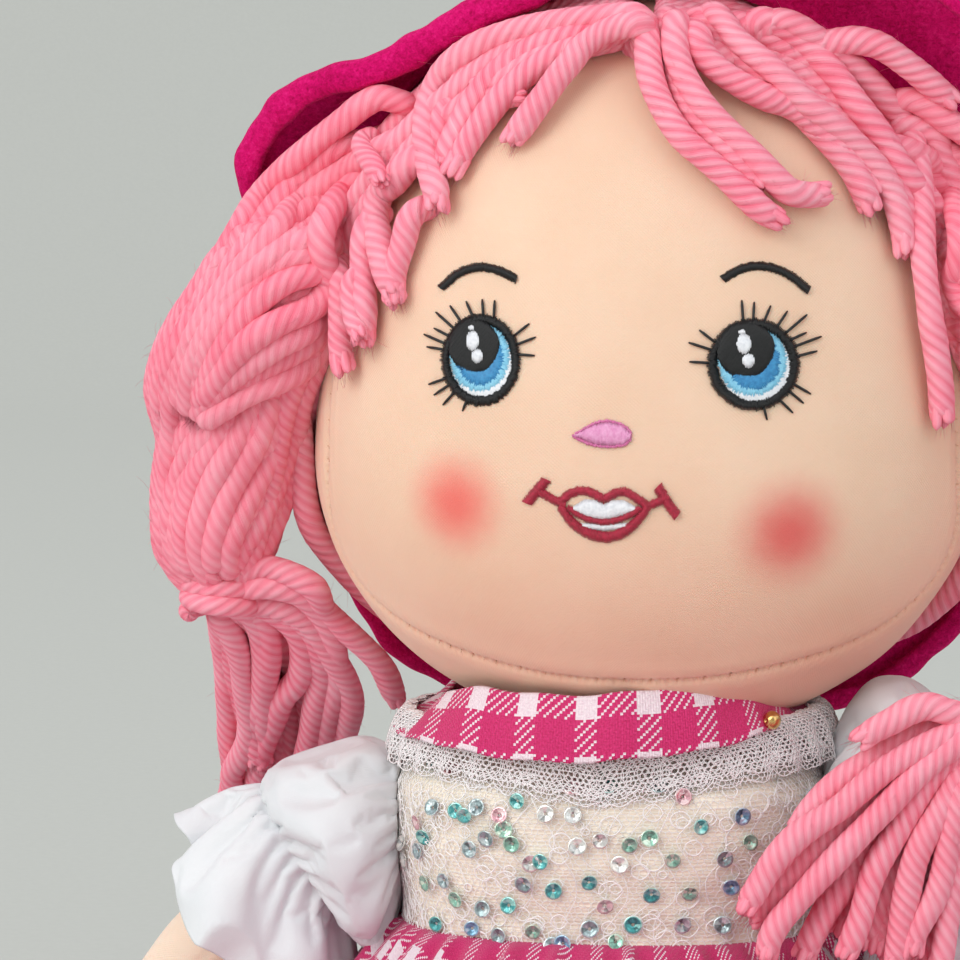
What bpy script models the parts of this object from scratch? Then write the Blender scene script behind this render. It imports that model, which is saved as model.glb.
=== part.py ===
"""A seated rag doll: stuffed head, torso and limbs, yarn hair, fleece hat and a dress with puff sleeves.

Metres, +Z up. The doll sits on the floor at z = 0 with the middle of its seat at the origin, and faces -Y.
Left and right are the doll's own, so its left side is at +X. The head leans a little to its left.
"""
import math
from bisect import bisect_right

import bmesh
import bpy
import numpy as np
from mathutils import Vector

# Clearances between pieces that touch
GAP = 0.0003
FACET_GAP = 0.0006
CUT_OVERRUN = 0.002

# Fineness of the meshes
SHARP_ANGLE = math.radians(50)
ROUND_STEPS = 4
LIMB_STEPS = 8
THREAD_SIDES = 6

# Torso
TORSO_HEIGHT = 0.081
TORSO_HALF_WIDTH = 0.040
TORSO_HALF_DEPTH = 0.0275
TORSO_SQUARENESS = 2.4
TORSO_LEVELS = 14
TORSO_SIDES = 26
TORSO_WIDTH_SHARES = (
    (0.0, 0.72), (0.06, 0.88), (0.22, 1.0), (0.40, 0.985),
    (0.56, 0.925), (0.75, 0.955), (0.90, 0.90), (1.0, 0.64)
)
TORSO_DEPTH_SHARES = (
    (0.0, 0.70), (0.06, 0.87), (0.22, 1.0), (0.40, 0.97),
    (0.56, 0.92), (0.75, 1.0), (0.90, 0.93), (1.0, 0.66)
)
WAIST_LEVEL = 8
BODICE_TOP_LEVEL = 13

# Neck, a stuffed plug with a ball foot, and the place of the head over it
NECK_X = 0.006
NECK_BALL_RADIUS = 0.013
NECK_BALL_SINK = 0.003
NECK_BALL_Z = TORSO_HEIGHT - NECK_BALL_SINK
NECK_RADIUS = 0.0115
NECK_LENGTH = 0.022
NECK_TOP_Z = NECK_BALL_Z + NECK_LENGTH
NECK_SIDES = 20
NECK_BALL_STEPS = 6
NECK_SLOPE = 2

# Head, an egg with low cheeks, cut flat where it meets the neck
HEAD_HALF_WIDTH = 0.0615
HEAD_FRONT_DEPTH = 0.046
HEAD_BACK_DEPTH = 0.044
HEAD_HEIGHT_ABOVE = 0.083
HEAD_HEIGHT_BELOW = 0.0526
HEAD_SEATING = 0.015
HEAD_CENTRE_RISE = 0.0457
HEAD_BASE_Z = NECK_TOP_Z - HEAD_SEATING
HEAD_CENTRE_Z = HEAD_BASE_Z + HEAD_CENTRE_RISE
HEAD_RINGS = 15
HEAD_SIDES = 30

# Face embroidery, measured from the head's centre as seen from the front
FACE_SHIFT = -0.003
STITCH_HEIGHT = 0.0008
EYE_SIDES = 18
EYE_SPACING = 0.048
EYE_HEIGHT = 0.0200
EYE_HALF_WIDTH = 0.0076
EYE_HALF_HEIGHT = 0.0085
BROW_SPACING = 0.0500
BROW_HEIGHT = 0.0335
BROW_HALF_LENGTH = 0.0073
BROW_RISE = 0.0028
BROW_RADIUS = 0.0007
BROW_STEPS = 5
NOSE_HEIGHT = 0.0074
NOSE_HALF_WIDTH = 0.0054
NOSE_HALF_HEIGHT = 0.0025
NOSE_POINT_POWER = 0.3
NOSE_SIDES = 16
MOUTH_HEIGHT = -0.0070
MOUTH_HALF_WIDTH = 0.0088
MOUTH_TOP = 0.0035
MOUTH_DROP = 0.0048
MOUTH_DIP_SHARE = 0.35
MOUTH_DIP_POWER = 8
MOUTH_SIDES = 24
CHIN_SEAM_RADIUS = 0.0008
CHIN_SEAM_HALF_WIDTH = 0.0575
CHIN_SEAM_DROP = 0.0385
CHIN_SEAM_POWER = 0.6
CHIN_SEAM_STEPS = 18
CHIN_SEAM_REACH = math.radians(82)

# Hat: an axis that leans back, a crown fitted to the head and a flat ring of brim
HAT_TILT = math.radians(24)
HAT_RIM_ANGLE = math.radians(72)
HAT_SIDES = 30
CROWN_CLEARANCE = 0.0048
CROWN_THICKNESS = 0.0020
CROWN_PUFF = 0.0060
CROWN_RINGS = 5
BRIM_BEYOND_HEAD = 0.0195
BRIM_RADIUS = HEAD_HALF_WIDTH + BRIM_BEYOND_HEAD
BRIM_CENTRE_Y = 0.010
BRIM_CENTRE_RISE = 0.0223
BRIM_CENTRE_Z = HEAD_CENTRE_Z + BRIM_CENTRE_RISE
BRIM_THICKNESS = 0.0024
BRIM_ROLL_RADIUS = 0.0023
BRIM_ROLL_BEND = math.radians(120)
BRIM_ROLL_STEPS = 4
BRIM_WAVE = 0.0018
BRIM_WAVE_COUNT = 5

# Yarn hair
YARN = 0.0050
CAP_CLEARANCE = 0.0010
CAP_THICKNESS = 0.0026
CAP_VALLEY_SHARE = 0.6
CAP_STRANDS = 3
CAP_SIDES = 26
CAP_BACK_ANGLE = math.radians(58)
CAP_FRONT_ANGLE = math.radians(83)
CAP_SIDE_SPREAD = math.radians(12)
CAP_REACH = math.radians(138)
FRINGE_START_SPREAD = math.radians(2.4)
FRINGE_CLEARANCE = 0.0005
FRINGE_BASE = 0.0020
FRINGE_STRANDS = 8
FRINGE_STEPS = 4
FRINGE_NOTCH_SHARE = 0.08
FRINGE_BEND_POWER = 0.8
HAIR_SIDES = 27
HAIR_FLUTES = 9
HAIR_FLUTE_SHARE = 0.16
BUNCH_BESIDE_HEAD = 0.0160
BUNCH_OUT = HEAD_HALF_WIDTH + BUNCH_BESIDE_HEAD
BUNCH_TOP_RISE = 0.0473
BUNCH_TOP_Z = HEAD_CENTRE_Z + BUNCH_TOP_RISE
TIE_DROP = 0.0257
TIE_Z = HEAD_CENTRE_Z - TIE_DROP
TIE_RADIUS = 0.0060
TIE_YARN_RADIUS = 0.0017
TIE_NECK_RADIUS = 0.0040
TIE_SIDES = 16
BUNCH_HALF_WIDTH = 0.0160
BUNCH_HALF_DEPTH = 0.0140
TAIL_LENGTH_RIGHT = 0.046
TAIL_LENGTH_LEFT = 0.057
TAIL_HALF_WIDTH = 0.0150
TAIL_HALF_DEPTH = 0.0062
TAIL_STEPS = 7

# Dress
CLOTH = 0.0016
BODICE_CLEARANCE = 0.0005
ARMHOLE_RADIUS = 0.0098
COLLAR_HALF_WIDTH = 0.0400
COLLAR_HALF_DEPTH = 0.0322
COLLAR_BELOW_TORSO = 0.0025
COLLAR_BOTTOM_Z = TORSO_HEIGHT - COLLAR_BELOW_TORSO
COLLAR_WIDTH = 0.0105
COLLAR_LEAN = 0.0022
COLLAR_SIDE_DROP = 0.0030
COLLAR_SIDES = 36
LACE_THICKNESS = 0.0007
LACE_DROP = 0.0050
LACE_SCALLOPS = 16
LACE_SCALLOP_SHARE = 0.35
LACE_SCALLOP_SIDES = 3
BEAD_RADIUS = 0.0021
BEAD_SIDES = 10
BEAD_TURN = math.radians(42)
SKIRT_BELOW_WAIST = 0.0028
SKIRT_TOP_Z = TORSO_HEIGHT * WAIST_LEVEL / TORSO_LEVELS - SKIRT_BELOW_WAIST
SKIRT_HALF_WIDTH = 0.0790
SKIRT_FRONT_REACH = 0.0920
SKIRT_BACK_REACH = 0.0780
SKIRT_HEM_Z = 0.0072
SKIRT_CLEARANCE = 0.0006
SKIRT_FOLDS = 13
SKIRT_FOLD_HEIGHT = 0.0026
SKIRT_SIDES = 39
SKIRT_RINGS = 5
SKIRT_OVER_LEG = 0.0058
SKIRT_FALL = 0.85
SKIRT_DRAPE_POWER = 1.3

# Arms, on stitched pads at the torso's sides
ARM_PIVOT_DROP = 0.0200
ARM_PIVOT_Z = TORSO_HEIGHT - ARM_PIVOT_DROP
SHOULDER_PAD_RADIUS = 0.0092
SHOULDER_PAD_LENGTH = 0.0050
SHOULDER_PAD_EDGE_SHARE = 0.92
ARM_RADIUS = 0.0095
ARM_LENGTH = 0.0690
ARM_DROP = math.radians(45)
ARM_SIDES = 14
ARM_RADIUS_SHARES = ((0.0, 1.0), (0.25, 1.02), (0.55, 0.93), (0.78, 0.84), (0.92, 1.05), (1.0, 1.14))
HAND_FLAT_SHARE = 0.72
HAND_END_SHARE = 1.25
THUMB_START_SHARE = 0.93
THUMB_LEAN = 0.8
THUMB_SIDES = 10
THUMB_SHARES = ((0, 1), (0.4, 1), (0.8, 0.85), (1, 0.5))
THUMB_RADIUS = 0.0042
THUMB_LENGTH = 0.0110

# Puff sleeves, each gathered at the armhole and at its hem
SLEEVE_LENGTH = 0.0370
SLEEVE_RADIUS = 0.0195
SLEEVE_MOUTH_CLEARANCE = 0.0006
SLEEVE_FOLDS = 9
SLEEVE_FOLD_SHARE = 0.07
SLEEVE_SIDES = 27
SLEEVE_RINGS = 6
SLEEVE_LIFT_LEFT = 0.0065
SLEEVE_LIFT_RIGHT = 0.0010
SLEEVE_EASE = 0.0005
SLEEVE_BEND_SHARE = 0.7
SLEEVE_SHARES = (
    (0.0, 0.60), (0.17, 0.86), (0.4, 1.0), (0.62, 1.0), (0.80, 0.80), (0.90, 0.66), (1.0, 0.86)
)

# Legs and shoes
HIP_X = 0.0200
HIP_Y = -0.0340
HIP_RADIUS = 0.0125
LEG_AXIS_Z = 0.0136
LEG_SPLAY = math.radians(6)
LEG_LENGTH = 0.1040
LEG_SIDES = 16
LEG_END_SHARE = 0.8
LEG_RADIUS_SHARES = ((0.0, 1.0), (0.2, 1.04), (0.5, 0.92), (0.7, 0.98), (1.0, 0.76))
SHOE_HALF_WIDTH = 0.0138
SHOE_HALF_LENGTH = 0.0215
SHOE_HALF_THICKNESS = 0.0135
SHOE_AHEAD = 0.0060
SHOE_RINGS = 10
SHOE_TOE_SHARE = 0.30
SHOE_ROUNDNESS = 0.8

HEAD_CENTRE = Vector((NECK_X, 0, HEAD_CENTRE_Z))
HAT_AXIS = Vector((0, math.cos(HAT_TILT), math.sin(HAT_TILT)))
HAT_UP = Vector((0, -math.sin(HAT_TILT), math.cos(HAT_TILT)))
BRIM_CENTRE = Vector((NECK_X, BRIM_CENTRE_Y, BRIM_CENTRE_Z))
SIDES = {"right": -1, "left": 1}
FULL_TURN = 2 * math.pi


# Helpers: numbers

def curve_value(stations, share):
    """The value at a share along (share, value) stations, on a smooth curve through them."""
    shares = [place for place, _ in stations]
    values = [value for _, value in stations]
    slopes = np.gradient(values, shares).tolist()
    first = min(max(bisect_right(shares, share) - 1, 0), len(shares) - 2)
    span = shares[first + 1] - shares[first]
    u = (share - shares[first]) / span
    return (
        values[first] * (1 + 2 * u) * (1 - u) ** 2
        + values[first + 1] * u * u * (3 - 2 * u)
        + span * (slopes[first] * u * (1 - u) ** 2 - slopes[first + 1] * u * u * (1 - u))
    )


def curve_point(points, share):
    """The point at a share along a smooth curve through evenly spaced points."""
    places = [i / (len(points) - 1) for i in range(len(points))]
    return Vector([curve_value(list(zip(places, [p[axis] for p in points])), share) for axis in range(3)])


def shares_up_to(count):
    """Evenly spaced shares from 0 to 1."""
    return [i / count for i in range(count + 1)]


# Helpers: solids

def material(name, colour, roughness, metallic=0.0):
    """A plain material of one colour."""
    made = bpy.data.materials.new(name)
    made.use_nodes = True
    shader = made.node_tree.nodes["Principled BSDF"]
    shader.inputs["Base Color"].default_value = (*colour, 1)
    shader.inputs["Roughness"].default_value = roughness
    shader.inputs["Metallic"].default_value = metallic
    made.diffuse_color = (*colour, 1)
    return made


def finish(name, mesh_data, made_of):
    """Turns a closed bmesh into a named, smooth object."""
    bmesh.ops.recalc_face_normals(mesh_data, faces=mesh_data.faces)
    mesh = bpy.data.meshes.new(name)
    mesh_data.to_mesh(mesh)
    mesh_data.free()
    mesh.shade_smooth()
    mesh.set_sharp_from_angle(angle=SHARP_ANGLE)
    made = bpy.data.objects.new(name, mesh)
    bpy.context.scene.collection.objects.link(made)
    if made_of is not None:
        mesh.materials.append(made_of)
    return made


def skin(name, rings, made_of, closed=False):
    """A solid through rings of equally many points, capped at both ends, or joined round when closed."""
    data = bmesh.new()
    rows = [[data.verts.new(point) for point in ring] for ring in rings]
    following = rows[1:] + rows[:1] if closed else rows[1:]
    for lower, upper in zip(rows, following):
        for i in range(len(lower)):
            j = (i + 1) % len(lower)
            data.faces.new((lower[i], lower[j], upper[j], upper[i]))
    if not closed:
        for row in (rows[0], rows[-1]):
            middle = data.verts.new(sum((v.co for v in row), Vector()) / len(row))
            for i in range(len(row)):
                data.faces.new((row[i], row[(i + 1) % len(row)], middle))
    return finish(name, data, made_of)


def slab(name, outer, inner, made_of, closed=False, pole=False):
    """A sheet with thickness: two grids of points joined along their edges.

    closed joins each row's ends round. pole means that the first row of each grid is one point.
    """
    data = bmesh.new()
    sheets = []
    for grid in (outer, inner):
        rows = [[data.verts.new(point) for point in row] for row in (grid[1:] if pole else grid)]
        sheets.append(rows)
        columns = len(rows[0])
        spans = range(columns if closed else columns - 1)
        for lower, upper in zip(rows, rows[1:]):
            for i in spans:
                j = (i + 1) % columns
                data.faces.new((lower[i], lower[j], upper[j], upper[i]))
        if pole:
            tip = data.verts.new(grid[0][0])
            for i in spans:
                data.faces.new((rows[0][i], rows[0][(i + 1) % columns], tip))
    top, bottom = sheets
    columns = len(top[0])
    for row in ((len(top) - 1,) if pole else (0, len(top) - 1)):
        for i in range(columns if closed else columns - 1):
            j = (i + 1) % columns
            data.faces.new((top[row][i], top[row][j], bottom[row][j], bottom[row][i]))
    if not closed:
        for column in (0, columns - 1):
            for row in range(len(top) - 1):
                upper, lower = (top[row][column], top[row + 1][column]), (bottom[row + 1][column], bottom[row][column])
                data.faces.new(upper + lower)
    return finish(name, data, made_of)


def hide_tool(tool):
    """Marks an object as a cutter or a guide."""
    tool.hide_render = True
    tool.display_type = "WIRE"
    return tool


def combine(target, tool, operation="DIFFERENCE"):
    """Cuts a tool out of a solid, or joins it on."""
    step = target.modifiers.new(tool.name, "BOOLEAN")
    step.operation = operation
    step.solver = "EXACT"
    step.object = hide_tool(tool)


def ball(name, centre, radius, sides):
    """A plain ball of latitude rings."""
    half = sides // 2
    rings = []
    for step in range(1, half):
        tilt = math.pi * step / half
        rings.append([
            Vector(centre) + radius * Vector((
                math.sin(tilt) * math.cos(turn), math.sin(tilt) * math.sin(turn), -math.cos(tilt)
            ))
            for turn in (FULL_TURN * i / sides for i in range(sides))
        ])
    return skin(name, rings, None)


def rod(name, start, end, radius, sides):
    """A plain cylinder between two points."""
    start, end = Vector(start), Vector(end)
    across, over = cross_axes((end - start).normalized())
    rings = [
        [base + radius * (across * math.cos(turn) + over * math.sin(turn))
         for turn in (FULL_TURN * i / sides for i in range(sides))]
        for base in (start, end)
    ]
    return skin(name, rings, None)


def cross_axes(along, towards=Vector((0, -1, 0))):
    """Two directions square to one, the second of them as near as can be to the front."""
    over = (towards - along * towards.dot(along)).normalized()
    return along.cross(over).normalized(), over


def swept_rings(path, widths, depths, sides, flutes=0, flute_share=0.0, towards=Vector((0, -1, 0))):
    """Oval rings along a path, their depth facing forward, with soft flutes like laid strands."""
    rings = []
    for i, point in enumerate(path):
        ahead = path[min(i + 1, len(path) - 1)] - path[max(i - 1, 0)]
        across, over = cross_axes(ahead.normalized(), towards)
        ring = []
        for turn in (FULL_TURN * side / sides for side in range(sides)):
            reach = 1 - flute_share * (1 + math.cos(flutes * turn)) / 2
            sideways, forwards = widths[i] * reach * math.cos(turn), depths[i] * reach * math.sin(turn)
            ring.append(point + across * sideways + over * forwards)
        rings.append(ring)
    return rings


# The torso and what is worn on it

def torso_section(share, grow, sides):
    """A level ring of the torso, a rounded oblong, grown outwards."""
    width = TORSO_HALF_WIDTH * curve_value(TORSO_WIDTH_SHARES, share) + grow
    depth = TORSO_HALF_DEPTH * curve_value(TORSO_DEPTH_SHARES, share) + grow
    ring = []
    for turn in (FULL_TURN * i / sides for i in range(sides)):
        c, s = math.cos(turn), math.sin(turn)
        size = (abs(c) ** TORSO_SQUARENESS + abs(s) ** TORSO_SQUARENESS) ** (-1 / TORSO_SQUARENESS)
        ring.append(Vector((width * c * size, depth * s * size, share * TORSO_HEIGHT)))
    return ring


def torso_half_width(height):
    """How far the torso's side stands from its middle at a height."""
    return TORSO_HALF_WIDTH * curve_value(TORSO_WIDTH_SHARES, height / TORSO_HEIGHT)


def make_torso(cloth):
    rings = [torso_section(share, 0, TORSO_SIDES) for share in shares_up_to(TORSO_LEVELS)]
    torso = skin("torso", rings, cloth)
    socket = ball("neck_socket_cutter", (NECK_X, 0, NECK_BALL_Z), NECK_BALL_RADIUS + 2 * GAP, NECK_SIDES)
    combine(torso, socket)
    for side, sign in SIDES.items():
        hip_place = (sign * HIP_X, HIP_Y, LEG_AXIS_Z)
        combine(torso, ball(f"hip_{side}_cutter", hip_place, HIP_RADIUS + FACET_GAP, LEG_SIDES))
        pad_start = sign * (torso_half_width(ARM_PIVOT_Z) - SHOULDER_PAD_LENGTH / 2 - GAP)
        pad_end = sign * (TORSO_HALF_WIDTH + CUT_OVERRUN)
        pad = rod(
            f"shoulder_{side}_cutter", (pad_start, 0, ARM_PIVOT_Z), (pad_end, 0, ARM_PIVOT_Z),
            SHOULDER_PAD_RADIUS + FACET_GAP, ARM_SIDES
        )
        combine(torso, pad)
    return torso


def make_bodice(lace):
    levels = range(WAIST_LEVEL, BODICE_TOP_LEVEL + 1)
    rings = [
        torso_section(level / TORSO_LEVELS, BODICE_CLEARANCE + CLOTH, TORSO_SIDES) for level in levels
    ] + [
        torso_section(level / TORSO_LEVELS, BODICE_CLEARANCE, TORSO_SIDES) for level in reversed(levels)
    ]
    bodice = skin("bodice", rings, lace, closed=True)
    reach = TORSO_HALF_WIDTH + CLOTH + CUT_OVERRUN
    for side, sign in SIDES.items():
        hole = rod(
            f"armhole_{side}_cutter", (sign * NECK_BALL_RADIUS, 0, ARM_PIVOT_Z), (sign * reach, 0, ARM_PIVOT_Z),
            ARMHOLE_RADIUS, ARM_SIDES
        )
        combine(bodice, hole)
    return bodice


def make_neck_lace(lace):
    """A band of lace over the bodice's top, its lower edge in scallops."""
    sides = LACE_SCALLOPS * LACE_SCALLOP_SIDES
    top_share = BODICE_TOP_LEVEL / TORSO_LEVELS
    drop_share = LACE_DROP / TORSO_HEIGHT
    inner_grow = BODICE_CLEARANCE + CLOTH + GAP
    grids = []
    for grow in (inner_grow + LACE_THICKNESS, inner_grow):
        rows = []
        for row_share in (0, 1):
            ring = []
            for i in range(sides):
                scallop = 1 - LACE_SCALLOP_SHARE * abs(math.cos(math.pi * i * LACE_SCALLOPS / sides)) * row_share
                level = top_share - drop_share * row_share * scallop
                ring.append(torso_section(level, grow, sides)[i])
            rows.append(ring)
        grids.append(rows)
    return slab("neck_lace", grids[0], grids[1], lace, closed=True)


def collar_point(turn, share, grow):
    """A point of the collar: share 0 is its top edge and 1 its lower edge. A turn of 0 is the front."""
    side = abs(math.sin(turn))
    lean = COLLAR_LEAN * share + grow
    z = COLLAR_BOTTOM_Z + COLLAR_WIDTH * (1 - share) - COLLAR_SIDE_DROP * side ** 2
    return Vector((
        (COLLAR_HALF_WIDTH + lean) * math.sin(turn), -(COLLAR_HALF_DEPTH + lean) * math.cos(turn), z
    ))


def make_collar(gingham):
    turns = [FULL_TURN * i / COLLAR_SIDES for i in range(COLLAR_SIDES)]
    grids = [
        [[collar_point(turn, share, grow) for turn in turns] for share in (0, 1)]
        for grow in (0, -CLOTH)
    ]
    return slab("collar", grids[0], grids[1], gingham, closed=True)


def make_bead(gold):
    seat = collar_point(BEAD_TURN, 0.5, 0)
    outwards = Vector((seat.x, seat.y, 0)).normalized()
    centre = seat + outwards * (BEAD_RADIUS + GAP)
    bead = ball("bead", centre, BEAD_RADIUS, BEAD_SIDES)
    bead.data.materials.append(gold)
    return bead


def leg_axis_x(sign, y):
    """Where a leg's middle line stands at a place along the doll."""
    return sign * (HIP_X + (HIP_Y - y) * math.tan(LEG_SPLAY))


def cover_height(x, y):
    """How high cloth lies over the legs."""
    nearest = min(abs(x - leg_axis_x(sign, min(y, HIP_Y))) for sign in SIDES.values())
    beside = max(0, nearest - HIP_RADIUS)
    behind = max(0, y - HIP_Y)
    return LEG_AXIS_Z + HIP_RADIUS + SKIRT_OVER_LEG - SKIRT_FALL * (beside + behind)


def skirt_point(share, turn, below):
    """A point of the skirt's upper side, or below it by a depth. Share 0 is the waist and 1 the hem."""
    level = SKIRT_TOP_Z / TORSO_HEIGHT
    grow = SKIRT_CLEARANCE + CLOTH - below
    width = TORSO_HALF_WIDTH * curve_value(TORSO_WIDTH_SHARES, level) + grow
    depth = TORSO_HALF_DEPTH * curve_value(TORSO_DEPTH_SHARES, level) + grow
    c, s = math.cos(turn), math.sin(turn)
    size = (abs(c) ** TORSO_SQUARENESS + abs(s) ** TORSO_SQUARENESS) ** (-1 / TORSO_SQUARENESS)
    waist = Vector((width * c * size, depth * s * size, 0))
    hem = Vector((SKIRT_HALF_WIDTH * c, (SKIRT_BACK_REACH if s > 0 else SKIRT_FRONT_REACH) * s, 0))
    place = waist.lerp(hem, share)
    fold = math.cos(SKIRT_FOLDS * turn) * SKIRT_FOLD_HEIGHT * min(1, 2 * share)
    drape = SKIRT_TOP_Z - (SKIRT_TOP_Z - SKIRT_HEM_Z) * math.sin(share * math.pi / 2) ** SKIRT_DRAPE_POWER
    place.z = max(drape, cover_height(place.x, place.y)) + fold - below * min(1, 4 * share)
    return place


def make_skirt(gingham):
    turns = [FULL_TURN * i / SKIRT_SIDES for i in range(SKIRT_SIDES)]
    shares = shares_up_to(SKIRT_RINGS)
    upper = [[skirt_point(share, turn, 0) for turn in turns] for share in shares]
    lower = [[skirt_point(share, turn, CLOTH) for turn in turns] for share in shares]
    for point in lower[0]:
        point.z -= CLOTH
    return slab("skirt", upper, lower, gingham, closed=True)


# Limbs

def limb_rings(start, along, length, radius, radius_shares, end_round, sides, flat_share=1.0):
    """Rings of a stuffed limb: a ball at its start, a swelling length, and a rounded end."""
    lies_flat = abs(along.y) > abs(along.z)
    across, over = cross_axes(along, Vector((0, 0, 1)) if lies_flat else Vector((0, -1, 0)))
    stations = []
    bends = [math.radians(90) * step / ROUND_STEPS for step in range(1, ROUND_STEPS)]
    for tilt in bends:
        stations.append((-radius * math.cos(tilt), radius * math.sin(tilt), 1.0))
    for share in shares_up_to(LIMB_STEPS):
        flat = 1 - (1 - flat_share) * max(0, 2 * share - 1) ** 2
        stations.append((share * length, radius * curve_value(radius_shares, share), flat))
    last = stations[-1][1]
    for tilt in bends:
        stations.append((length + last * end_round * math.sin(tilt), last * math.cos(tilt), flat_share))
    return [
        [start + along * distance + reach * (across * math.cos(turn) + over * flat * math.sin(turn))
         for turn in (FULL_TURN * i / sides for i in range(sides))]
        for distance, reach, flat in stations
    ]


def arm_line(sign):
    """Where an arm is hinged, and its direction."""
    pad_end = torso_half_width(ARM_PIVOT_Z) + SHOULDER_PAD_LENGTH / 2
    pivot = Vector((sign * (pad_end + GAP + ARM_RADIUS), 0, ARM_PIVOT_Z))
    return pivot, Vector((sign * math.cos(ARM_DROP), 0, -math.sin(ARM_DROP)))


def make_shoulder(side, sign, cloth):
    """The gathered, stitched pad that an arm hangs from."""
    middle = torso_half_width(ARM_PIVOT_Z)
    start = Vector((sign * (middle - SHOULDER_PAD_LENGTH / 2), 0, ARM_PIVOT_Z))
    end = Vector((sign * (middle + SHOULDER_PAD_LENGTH / 2), 0, ARM_PIVOT_Z))
    path = [start, start.lerp(end, 0.5), end]
    radii = [SHOULDER_PAD_RADIUS * share for share in (SHOULDER_PAD_EDGE_SHARE, 1, SHOULDER_PAD_EDGE_SHARE)]
    return skin(f"shoulder_{side}", swept_rings(path, radii, radii, ARM_SIDES), cloth)


def make_arm(side, sign, cloth):
    pivot, along = arm_line(sign)
    rings = limb_rings(
        pivot, along, ARM_LENGTH, ARM_RADIUS, ARM_RADIUS_SHARES, HAND_END_SHARE, ARM_SIDES, HAND_FLAT_SHARE
    )
    arm = skin(f"arm_{side}", rings, cloth)
    root = pivot + along * ARM_LENGTH * THUMB_START_SHARE
    thumb_end = root + (Vector((0, -1, 0)) + along * THUMB_LEAN).normalized() * THUMB_LENGTH
    path = [root.lerp(thumb_end, place) for place, _ in THUMB_SHARES]
    radii = [THUMB_RADIUS * size for _, size in THUMB_SHARES]
    thumb_rings = swept_rings(path, radii, radii, THUMB_SIDES, towards=Vector((0, 0, 1)))
    thumb = skin(f"thumb_{side}_tool", thumb_rings, None)
    combine(arm, thumb, "UNION")
    return arm


def arm_radius_at(distance):
    """An arm's radius at a distance from its hinge."""
    return ARM_RADIUS * curve_value(ARM_RADIUS_SHARES, min(1, max(0, distance / ARM_LENGTH)))


def make_sleeve(side, sign, satin, lift):
    """A puff sleeve: a gathered bag of satin with soft folds, open at both ends round the arm."""
    pivot, along = arm_line(sign)
    armhole_x = torso_half_width(ARM_PIVOT_Z) + BODICE_CLEARANCE + CLOTH + SLEEVE_EASE
    line = [Vector((sign * armhole_x, 0, ARM_PIVOT_Z)), pivot]
    line += [pivot + along * SLEEVE_LENGTH * step / 3 for step in (1, 2, 3)]
    path = [curve_point(line, share) for share in shares_up_to(SLEEVE_RINGS)]
    outer, inner = [], []
    for i, place in enumerate(path):
        share = i / SLEEVE_RINGS
        bend = ARM_DROP * min(1, share / SLEEVE_BEND_SHARE)
        across, over = cross_axes(Vector((sign * math.cos(bend), 0, -math.sin(bend))))
        centre = place + Vector((0, 0, lift * math.sin(math.pi * share) ** 2))
        distance = (centre - pivot).dot(along)
        nearest = pivot + along * distance if distance > 0 else Vector((centre.x, 0, ARM_PIVOT_Z))
        aside = (centre - nearest).length
        bore = arm_radius_at(distance) + aside + SLEEVE_MOUTH_CLEARANCE
        puff = SLEEVE_RADIUS * curve_value(SLEEVE_SHARES, share)
        rings = []
        for grow in (CLOTH, 0):
            ring = []
            for turn in (FULL_TURN * k / SLEEVE_SIDES for k in range(SLEEVE_SIDES)):
                fold = 1 + SLEEVE_FOLD_SHARE * math.cos(SLEEVE_FOLDS * turn)
                reach = max(puff * fold - CLOTH, bore) + grow
                ring.append(centre + reach * (across * math.cos(turn) + over * math.sin(turn)))
            rings.append(ring)
        outer.append(rings[0])
        inner.append(rings[1])
    return slab(f"sleeve_{side}", outer, inner, satin, closed=True)


def leg_line(sign):
    """Where a leg is hinged, and its direction."""
    pivot = Vector((sign * HIP_X, HIP_Y, LEG_AXIS_Z))
    return pivot, Vector((sign * math.sin(LEG_SPLAY), -math.cos(LEG_SPLAY), 0))


def make_leg(side, sign, cloth):
    pivot, along = leg_line(sign)
    rings = limb_rings(pivot, along, LEG_LENGTH, HIP_RADIUS, LEG_RADIUS_SHARES, LEG_END_SHARE, LEG_SIDES)
    return skin(f"leg_{side}", rings, cloth)


def make_shoe(side, sign, fleece):
    """A soft shoe that stands on its heel, its toe up, drawn over the end of the leg."""
    pivot, along = leg_line(sign)
    centre = pivot + along * (LEG_LENGTH + SHOE_AHEAD)
    centre.z = SHOE_HALF_LENGTH + GAP
    sideways = along.cross(Vector((0, 0, 1)))
    rings = []
    for step in range(1, SHOE_RINGS):
        tilt = math.pi * step / SHOE_RINGS
        height = -math.cos(tilt)
        round_share = math.sin(tilt) ** SHOE_ROUNDNESS
        toe = 1 - SHOE_TOE_SHARE * max(0, height)
        rings.append([
            centre + Vector((0, 0, SHOE_HALF_LENGTH * height))
            + sideways * SHOE_HALF_WIDTH * round_share * toe * math.cos(turn)
            + along * SHOE_HALF_THICKNESS * round_share * toe * math.sin(turn)
            for turn in (FULL_TURN * i / LEG_SIDES for i in range(LEG_SIDES))
        ])
    shoe = skin(f"shoe_{side}", rings, fleece)
    reach = limb_rings(
        pivot, along, LEG_LENGTH, HIP_RADIUS + FACET_GAP, LEG_RADIUS_SHARES, LEG_END_SHARE, LEG_SIDES
    )
    combine(shoe, skin(f"ankle_{side}_cutter", reach, None))
    return shoe


# The neck and the head

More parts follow.
